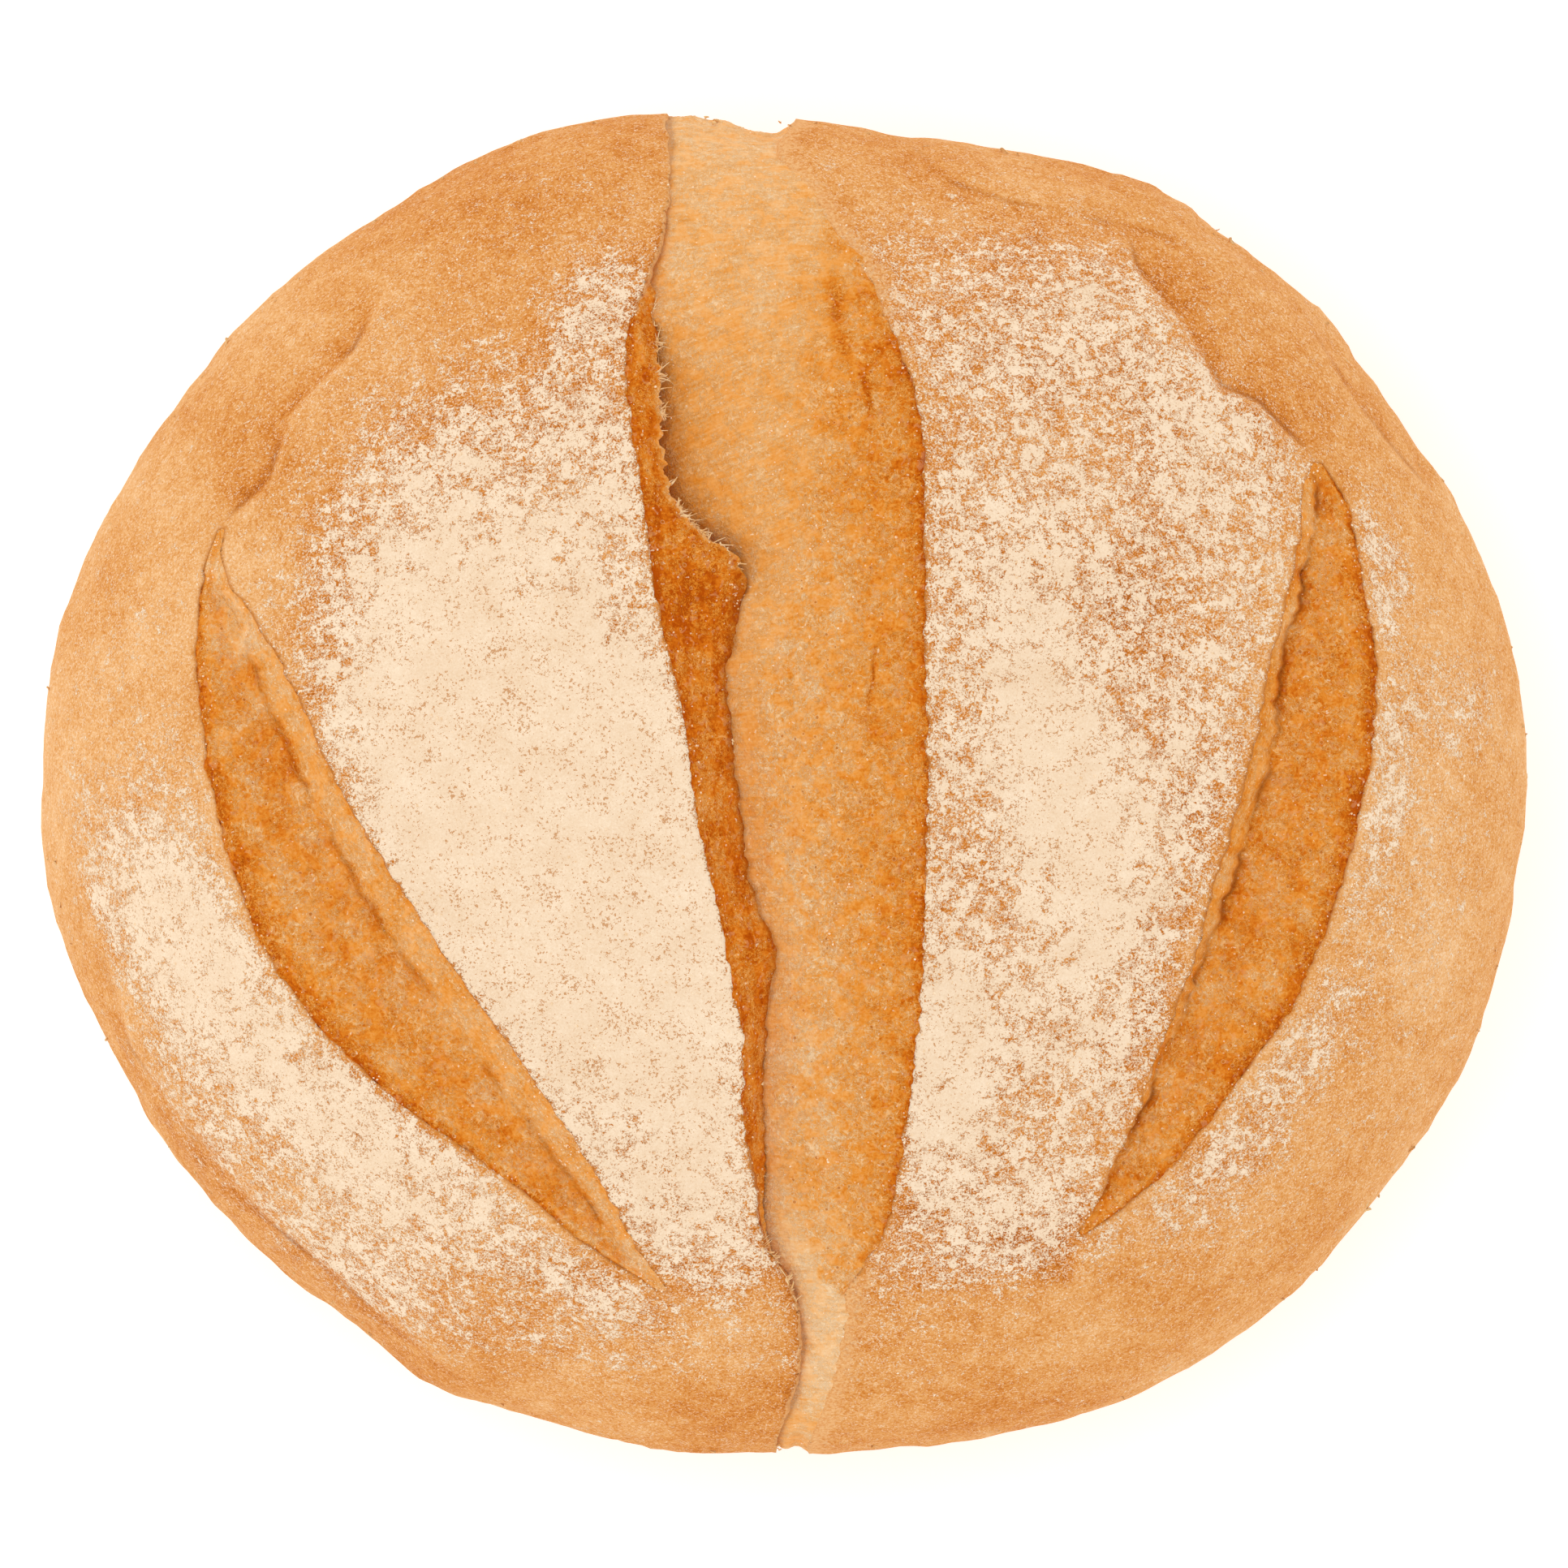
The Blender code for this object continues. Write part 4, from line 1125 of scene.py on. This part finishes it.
loose_crumbs = copies(
    "loose_crumbs", crumb_model, crumb_places,
    rng.normal(0, 1, crumb_places.shape), crumb_sizes, np.zeros(len(crumb_places)),
)

# %% [markdown]
# ## Materials
#
# Bread is a matt foam, rough and with almost no shine, so its looks are all in its colours and its grain.
# Colours are sRGB hex values, turned to linear by one function, and one small function adds a node with its
# settings and links.

# %% Colour and node helpers
def linear(hex_colour):
    """An sRGB hex colour as linear RGBA."""
    parts = [int(hex_colour[i:i + 2], 16) / 255 for i in (1, 3, 5)]
    return [c / 12.92 if c <= 0.04045 else ((c + 0.055) / 1.055) ** 2.4 for c in parts] + [1.0]


def add_node(tree, kind, settings=None, **inputs):
    """A node with its settings, and its inputs set to values or linked to other nodes' outputs."""
    node = tree.nodes.new("ShaderNode" + kind)
    for name, value in (settings or {}).items():
        setattr(node, name, value)
    for name, value in inputs.items():
        key = int(name[1:]) if name[0] == "i" and name[1:].isdigit() else name.replace("_", " ")
        socket = node.inputs[key]
        if isinstance(value, bpy.types.NodeSocket):
            tree.links.new(value, socket)
        else:
            socket.default_value = value
    return node


def blend_colours(tree, share, first, second, mode="MIX"):
    """The colour between two others."""
    node = add_node(tree, "Mix", {"data_type": "RGBA", "blend_type": mode}, i0=share)
    for index, colour in ((6, first), (7, second)):
        if isinstance(colour, bpy.types.NodeSocket):
            tree.links.new(colour, node.inputs[index])
        else:
            node.inputs[index].default_value = colour
    return node.outputs[2]


def calculate(tree, operation, first, second=0.0, third=None):
    """One sum of numbers or sockets."""
    inputs = {"i0": first, "i1": second}
    if third is not None:
        inputs["i2"] = third
    return add_node(tree, "Math", {"operation": operation}, **inputs).outputs[0]


def step_up(tree, value, low, high):
    """0 below low, 1 above high, smooth between."""
    return add_node(
        tree, "MapRange", {"interpolation_type": "SMOOTHSTEP"}, Value=value, From_Min=low, From_Max=high
    ).outputs[0]


def noise_of(tree, where, size_mm, detail=2.0, roughness=0.5, distortion=0.0):
    """Noise whose waves are that many millimetres long."""
    return add_node(
        tree, "TexNoise", None, Vector=where, Scale=1000 / size_mm,
        Detail=detail, Roughness=roughness, Distortion=distortion,
    ).outputs[0]


def on_point(tree, name):
    """A number that a piece keeps on its points."""
    return add_node(tree, "Attribute", {"attribute_name": name}).outputs["Fac"]


def set_stops(ramp, stops):
    """Sets the stops of a colour ramp: where each is, and its colour."""
    elements = ramp.color_ramp.elements
    while len(elements) < len(stops):
        elements.new(0.5)
    for element, (position, colour) in zip(elements, stops):
        element.position = position
        element.color = linear(colour)


def new_material(name, roughness):
    """A material with its tree, its shader and the place on the object."""
    material = bpy.data.materials.new(name)
    material.use_nodes = True
    tree = material.node_tree
    shader = tree.nodes["Principled BSDF"]
    shader.inputs["Roughness"].default_value = roughness
    shader.inputs["Specular IOR Level"].default_value = 0.06
    where = add_node(tree, "TexCoord").outputs["Object"]
    return material, tree, shader, where


# %% [markdown]
# Floured crust: the dry skin of the dough, browned to gold, with flour baked onto it. The amount on the
# points is broken up by noise of three sizes: patches of a few millimetres, clusters of one, and grains of
# about a third. Where they add up to enough, there is flour; the rest is crust that shows between, and it is
# darker there. Heaped flour closes up, but for small brown specks. Single pale specks of flour also cling to
# the bare crust. Lips and the crust under the crumb are browner. Painted shade darkens the low side of each
# fold and the crust at the ends of the middle slash's left lip, and a painted shadow line runs along the
# foot of each fold.

# %% Floured crust
floured_crust, tree, shader, where = new_material("floured_crust", 0.85)
patches = noise_of(tree, where, 2.8, 2.0, 0.55, 0.6)
clusters = noise_of(tree, where, 1.0, 3.0, 0.7, 0.6)
grains = noise_of(tree, where, 0.30, 2.0, 0.75)
flour, lobe = on_point(tree, "flour"), on_point(tree, "lobe")


def around_half(value, size, start):
    """A noise's swing about its middle, made that large and added to a start."""
    return calculate(tree, "MULTIPLY_ADD", calculate(tree, "SUBTRACT", value, 0.5), size, start)


heaped = calculate(tree, "MULTIPLY_ADD", step_up(tree, flour, 0.82, 1.0), 0.34, flour)
amount = around_half(patches, 1.2, around_half(clusters, 1.7, around_half(grains, 1.8, heaped)))
half_covered = calculate(tree, "MULTIPLY_ADD", lobe, 0.03, 0.04)
covered = step_up(
    tree, amount, calculate(tree, "SUBTRACT", 0.52, half_covered), calculate(tree, "ADD", 0.52, half_covered)
)
shade = on_point(tree, "shade")
wide_tone = noise_of(tree, where, 18.0, 2.0, 0.5)
mid_tone = noise_of(tree, where, 3.0, 2.0, 0.6)
speckle = noise_of(tree, where, 0.42, 2.0, 0.65, 0.4)
across, along, _ = add_node(tree, "SeparateXYZ", None, Vector=where).outputs
level = around_half(wide_tone, 0.55, around_half(mid_tone, 0.45, around_half(speckle, 1.05, 0.51)))
level = calculate(tree, "MULTIPLY_ADD", calculate(tree, "MULTIPLY", across, across), 9.0, level)
level = calculate(tree, "MULTIPLY_ADD", calculate(tree, "MULTIPLY", along, along), -12.0, level)
level = calculate(tree, "MULTIPLY_ADD", on_point(tree, "side"), 0.14, level)
# Painted shade from the points: the low side of folds, and the crust at the ends of the middle slash's left
# lip.
level = calculate(tree, "MULTIPLY_ADD", shade, -0.42, level)
floured = step_up(tree, flour, 0.15, 0.6)
level = calculate(tree, "MULTIPLY_ADD", floured, calculate(tree, "MULTIPLY_ADD", lobe, 0.10, -0.24), level)
crust_ramp = add_node(tree, "ValToRGB", None, Fac=level)
set_stops(crust_ramp, (
    (0.0, "#ad5c18"), (0.25, "#cf7d2d"), (0.5, "#df9c56"), (0.75, "#edb87e"), (1.0, "#f7d2a8"),
))
dust_noise = noise_of(tree, where, 0.26, 1.0, 0.5)
dust_level = calculate(tree, "MULTIPLY_ADD", flour, 0.22, around_half(clusters, 0.5, dust_noise))
dust = step_up(tree, dust_level, 0.58, 0.68)
bare = blend_colours(tree, calculate(tree, "MULTIPLY", dust, 0.6), crust_ramp.outputs[0], linear("#f6d6b2"))
creamy = around_half(clusters, 0.7, around_half(grains, 1.3, 0.5))
creamy = around_half(noise_of(tree, where, 6.0, 3.0, 0.6), 0.9, creamy)
powder = blend_colours(tree, creamy, linear("#e9c8a3"), linear("#fce6ca"))
pepper_noise = around_half(patches, 0.40, noise_of(tree, where, 0.42, 2.0, 0.75))
pepper = calculate(tree, "SUBTRACT", 1.0, step_up(tree, pepper_noise, 0.365, 0.405))
powder = blend_colours(tree, calculate(tree, "MULTIPLY", pepper, 0.75), powder, linear("#c2803f"))
colour = blend_colours(tree, covered, bare, powder)
uncovered = calculate(tree, "SUBTRACT", 1.0, covered)
browned_lip = calculate(tree, "MULTIPLY", calculate(tree, "MULTIPLY", on_point(tree, "lip"), 0.8), uncovered)
colour = blend_colours(tree, browned_lip, colour, linear("#c0732b"))
# Painted shadow line at the foot of each fold.
crease_shaded = calculate(tree, "MULTIPLY", on_point(tree, "crease_shade"), 0.7)
colour = blend_colours(tree, crease_shaded, colour, linear("#a05a22"))
colour = blend_colours(tree, on_point(tree, "inside"), colour, linear("#b9641c"))
pale_share = step_up(tree, around_half(clusters, 2.0, on_point(tree, "merge")), 0.3, 0.8)
merged_crumb = blend_colours(tree, step_up(tree, speckle, 0.38, 0.62), linear("#df9c5c"), linear("#ecb87e"))
colour = blend_colours(tree, calculate(tree, "MULTIPLY", pale_share, 0.8), colour, merged_crumb)
tree.links.new(colour, shader.inputs["Base Color"])
height = calculate(tree, "MULTIPLY_ADD", speckle, 0.8, calculate(tree, "MULTIPLY", covered, 0.5))
bump = add_node(tree, "Bump", None, Strength=0.7, Distance=0.00018, Height=height)
tree.links.new(bump.outputs[0], shader.inputs["Normal"])

# %% [markdown]
# Torn crumb: the foam inside, dried and browned by the oven where it opened. Its tone on the points runs
# from cream, where it tore late, to dark orange, where it baked longest. Blotches, mottle and grit vary it.
# Torn bubble walls are pale curled strands, and some of the bubbles, which are about 1.5 millimetres apart,
# are pores with a pale rim. Where the crumb tore late, fine fibres run across instead.

# %% Torn crumb
torn_crumb, tree, shader, where = new_material("torn_crumb", 0.8)
tone = on_point(tree, "tone")
torn = on_point(tree, "torn")
loose = calculate(tree, "SUBTRACT", 1.0, torn)
blotches = noise_of(tree, where, 5.5, 2.0, 0.55, 0.5)
mottle = noise_of(tree, where, 1.3, 3.0, 0.65, 1.2)
grit = noise_of(tree, where, 0.42, 2.0, 0.65)
fibre_place = add_node(
    tree, "CombineXYZ", None, X=on_point(tree, "fibre_u"),
    Y=calculate(tree, "MULTIPLY", on_point(tree, "fibre_v"), 0.16),
    Z=calculate(tree, "MULTIPLY", torn, 0.0003),
).outputs[0]
fibre = noise_of(tree, fibre_place, 0.42, 3.0, 0.6, 0.3)


def curled_lines(size_mm, width, where_low, where_high):
    """Thin curled lines, as torn strands lie: where a warped noise passes its middle, but not everywhere."""
    warped = noise_of(tree, where, size_mm, 1.0, 0.5, 1.8)
    off = calculate(tree, "ABSOLUTE", calculate(tree, "SUBTRACT", warped, 0.5))
    line = calculate(tree, "SUBTRACT", 1.0, step_up(tree, off, 0.0, width))
    shown = step_up(tree, noise_of(tree, where, 2.6 * size_mm, 1.0), where_low, where_high)
    return calculate(tree, "MULTIPLY", line, shown)


strands = calculate(
    tree, "MAXIMUM", curled_lines(1.5, 0.07, 0.42, 0.56), curled_lines(0.75, 0.08, 0.42, 0.54)
)
parts = ((blotches, 0.45, 0.5), (mottle, 0.55, 0.5), (grit, 0.60, 0.5), (strands, -0.32, 0.10))
shift = 0.0
for value, size, middle in parts:
    shift = calculate(tree, "MULTIPLY_ADD", calculate(tree, "SUBTRACT", value, middle), size, shift)
shift = calculate(tree, "MULTIPLY", shift, calculate(tree, "MULTIPLY_ADD", loose, 0.4, 0.6))
fibre_share = calculate(tree, "MULTIPLY_ADD", torn, 0.38, 0.2)
fibre_swing = calculate(tree, "MULTIPLY", calculate(tree, "SUBTRACT", fibre, 0.5), fibre_share)
shift = calculate(tree, "MULTIPLY_ADD", fibre_swing, 0.85, shift)
at_lip = calculate(tree, "SUBTRACT", 1.0, step_up(tree, on_point(tree, "edge"), 0.0, 1.4))
shift = calculate(tree, "MULTIPLY_ADD", at_lip, 0.14, shift)
level = calculate(tree, "ADD", tone, shift)
crumb_ramp = add_node(tree, "ValToRGB", None, Fac=level)
set_stops(crumb_ramp, (
    (0.0, "#f6d0a2"), (0.2, "#f2bc80"), (0.4, "#eea658"), (0.6, "#e68f30"), (0.8, "#d5700f"), (1.0, "#b64e00"),
))
film_noise = noise_of(tree, where, 1.1, 1.0, 0.5, 0.8)
film = calculate(tree, "MULTIPLY", step_up(tree, film_noise, 0.60, 0.66), loose)
filmed = calculate(tree, "MULTIPLY", film, 0.30)
colour = blend_colours(tree, filmed, crumb_ramp.outputs[0], linear("#e9ae7a"))
cell = add_node(tree, "TexVoronoi", {"feature": "F1"}, Vector=where, Scale=1000 / 1.5, Randomness=1.0)
cell_random = add_node(tree, "SeparateColor", None, Color=cell.outputs["Color"]).outputs[0]
has_pore = calculate(tree, "MULTIPLY", step_up(tree, cell_random, 0.38, 0.44), loose)
pore_edge = calculate(tree, "MULTIPLY_ADD", cell_random, 0.12, 0.03)
in_pore = calculate(tree, "LESS_THAN", cell.outputs["Distance"], pore_edge)
in_pore = calculate(tree, "MULTIPLY", in_pore, has_pore)
near_pore = calculate(tree, "LESS_THAN", cell.outputs["Distance"], calculate(tree, "ADD", pore_edge, 0.07))
pore_rim = calculate(tree, "MULTIPLY", near_pore, has_pore)
pore_rim = calculate(tree, "MULTIPLY", pore_rim, calculate(tree, "SUBTRACT", 1.0, in_pore))
colour = blend_colours(tree, calculate(tree, "MULTIPLY", pore_rim, 0.35), colour, linear("#f2c48c"))
# Painted shade inside the pores.
colour = blend_colours(tree, calculate(tree, "MULTIPLY", in_pore, 0.65), colour, linear("#bd681f"))
glints = step_up(tree, noise_of(tree, where, 0.45, 0.0), 0.78, 0.82)
colour = blend_colours(tree, calculate(tree, "MULTIPLY", glints, 0.6), colour, linear("#ffe4c2"))
# Painted shade from the points' crack value: along the crack and grooves, and under the wall's edge.
colour = blend_colours(tree, on_point(tree, "crack"), colour, linear("#8f410c"))
tree.links.new(colour, shader.inputs["Base Color"])
height = calculate(tree, "MULTIPLY_ADD", strands, 0.6, calculate(tree, "MULTIPLY_ADD", mottle, 1.2, grit))
height = calculate(tree, "MULTIPLY_ADD", fibre, calculate(tree, "MULTIPLY", torn, 0.6), height)
height = calculate(tree, "SUBTRACT", height, calculate(tree, "MULTIPLY", in_pore, 0.8))
bump = add_node(tree, "Bump", None, Strength=0.6, Distance=0.0003, Height=height)
tree.links.new(bump.outputs[0], shader.inputs["Normal"])

# %% [markdown]
# Flour and sugary crumbs are the palest thing on the loaf, and threads and flakes are dried crumb and crust.
# All are a little uneven, so each has two tones of its own, mixed by noise about as large as it is.

# %% Flour, sugary crumbs, threads and flakes
def two_tones(name, roughness, size_mm, low, high, dark, pale, detail=1.0):
    """A matt material of two tones, mixed by noise."""
    material, tree, shader, where = new_material(name, roughness)
    share = step_up(tree, noise_of(tree, where, size_mm, detail), low, high)
    tree.links.new(blend_colours(tree, share, linear(dark), linear(pale)), shader.inputs["Base Color"])
    return material


flour_powder = two_tones("flour_powder", 0.9, 0.7, 0.35, 0.65, "#f0cda2", "#ffeacb")
sugary_crumb = two_tones("sugary_crumb", 0.6, 0.9, 0.40, 0.60, "#eeb474", "#ffe3bf")
pale_thread = two_tones("pale_thread", 0.7, 1.5, 0.35, 0.65, "#e9b676", "#f6d6a6")
dry_flake = two_tones("dry_flake", 0.7, 1.0, 0.35, 0.65, "#dfa666", "#f0c890", detail=2.0)

# %% [markdown]
# ## Riding on the loaf
#
# Nothing moves, so every piece rides on the one body and stands for the one solid.

# %% Riding
pieces = {
    crust: floured_crust, floor: torn_crumb, wall: torn_crumb,
    left_crumb: torn_crumb, right_crumb: torn_crumb,
    threads: pale_thread, flakes: dry_flake, flour_grains: flour_powder, loose_crumbs: sugary_crumb,
}
for piece, material in pieces.items():
    piece.data.materials.clear()
    piece.data.materials.append(material)
    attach(piece, "root")
    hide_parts("loaf")
print("triangles in all:", sum(triangles(piece) for piece in pieces))

# %% [markdown]
# ## Floor, light and camera
#
# The photograph looks straight down on the loaf, in even light from above with a little more from the upper
# left. A long lens far away keeps the crown from looking larger than the rim.

# %% Floor and light
bpy.ops.object.select_all(action="DESELECT")
bpy.ops.mesh.primitive_plane_add(size=30.0, location=(0.0, 0.0, -0.0002))
table = bpy.context.object
table.name = "table"
white, tree, shader, _ = new_material("white_table", 0.9)
shader.inputs["Base Color"].default_value = linear("#f6f6f6")
shader.inputs["Emission Color"].default_value = (1.0, 1.0, 1.0, 1.0)
shader.inputs["Emission Strength"].default_value = 0.32
table.data.materials.append(white)

world = bpy.data.worlds.new("soft studio")
world.use_nodes = True
world.node_tree.nodes["Background"].inputs[0].default_value = (1.0, 1.0, 1.0, 1.0)
world.node_tree.nodes["Background"].inputs[1].default_value = 0.95
bpy.context.scene.world = world

sun = bpy.data.objects.new("key", bpy.data.lights.new("key", "SUN"))
sun.data.energy = 0.4
sun.data.angle = math.radians(35.0)
sun.rotation_euler = Vector((-0.35, 0.12, 1.0)).to_track_quat("Z", "Y").to_euler()
bpy.context.scene.collection.objects.link(sun)

# %% Camera
CAMERA_HEIGHT, FRAME_PIXELS = 4.0, 1932
FRAME_WIDTH = FRAME_PIXELS * WIDTH / OUTLINE_PIXELS / 1000
camera = bpy.data.objects.new("camera", bpy.data.cameras.new("camera"))
camera.location = (0.0, 0.0, CAMERA_HEIGHT)
camera.data.sensor_width = 36.0
camera.data.lens = camera.data.sensor_width * (CAMERA_HEIGHT - WAIST_HEIGHT / 1000) / FRAME_WIDTH
bpy.context.scene.collection.objects.link(camera)
bpy.context.scene.camera = camera
bpy.context.scene.view_settings.view_transform = "Standard"
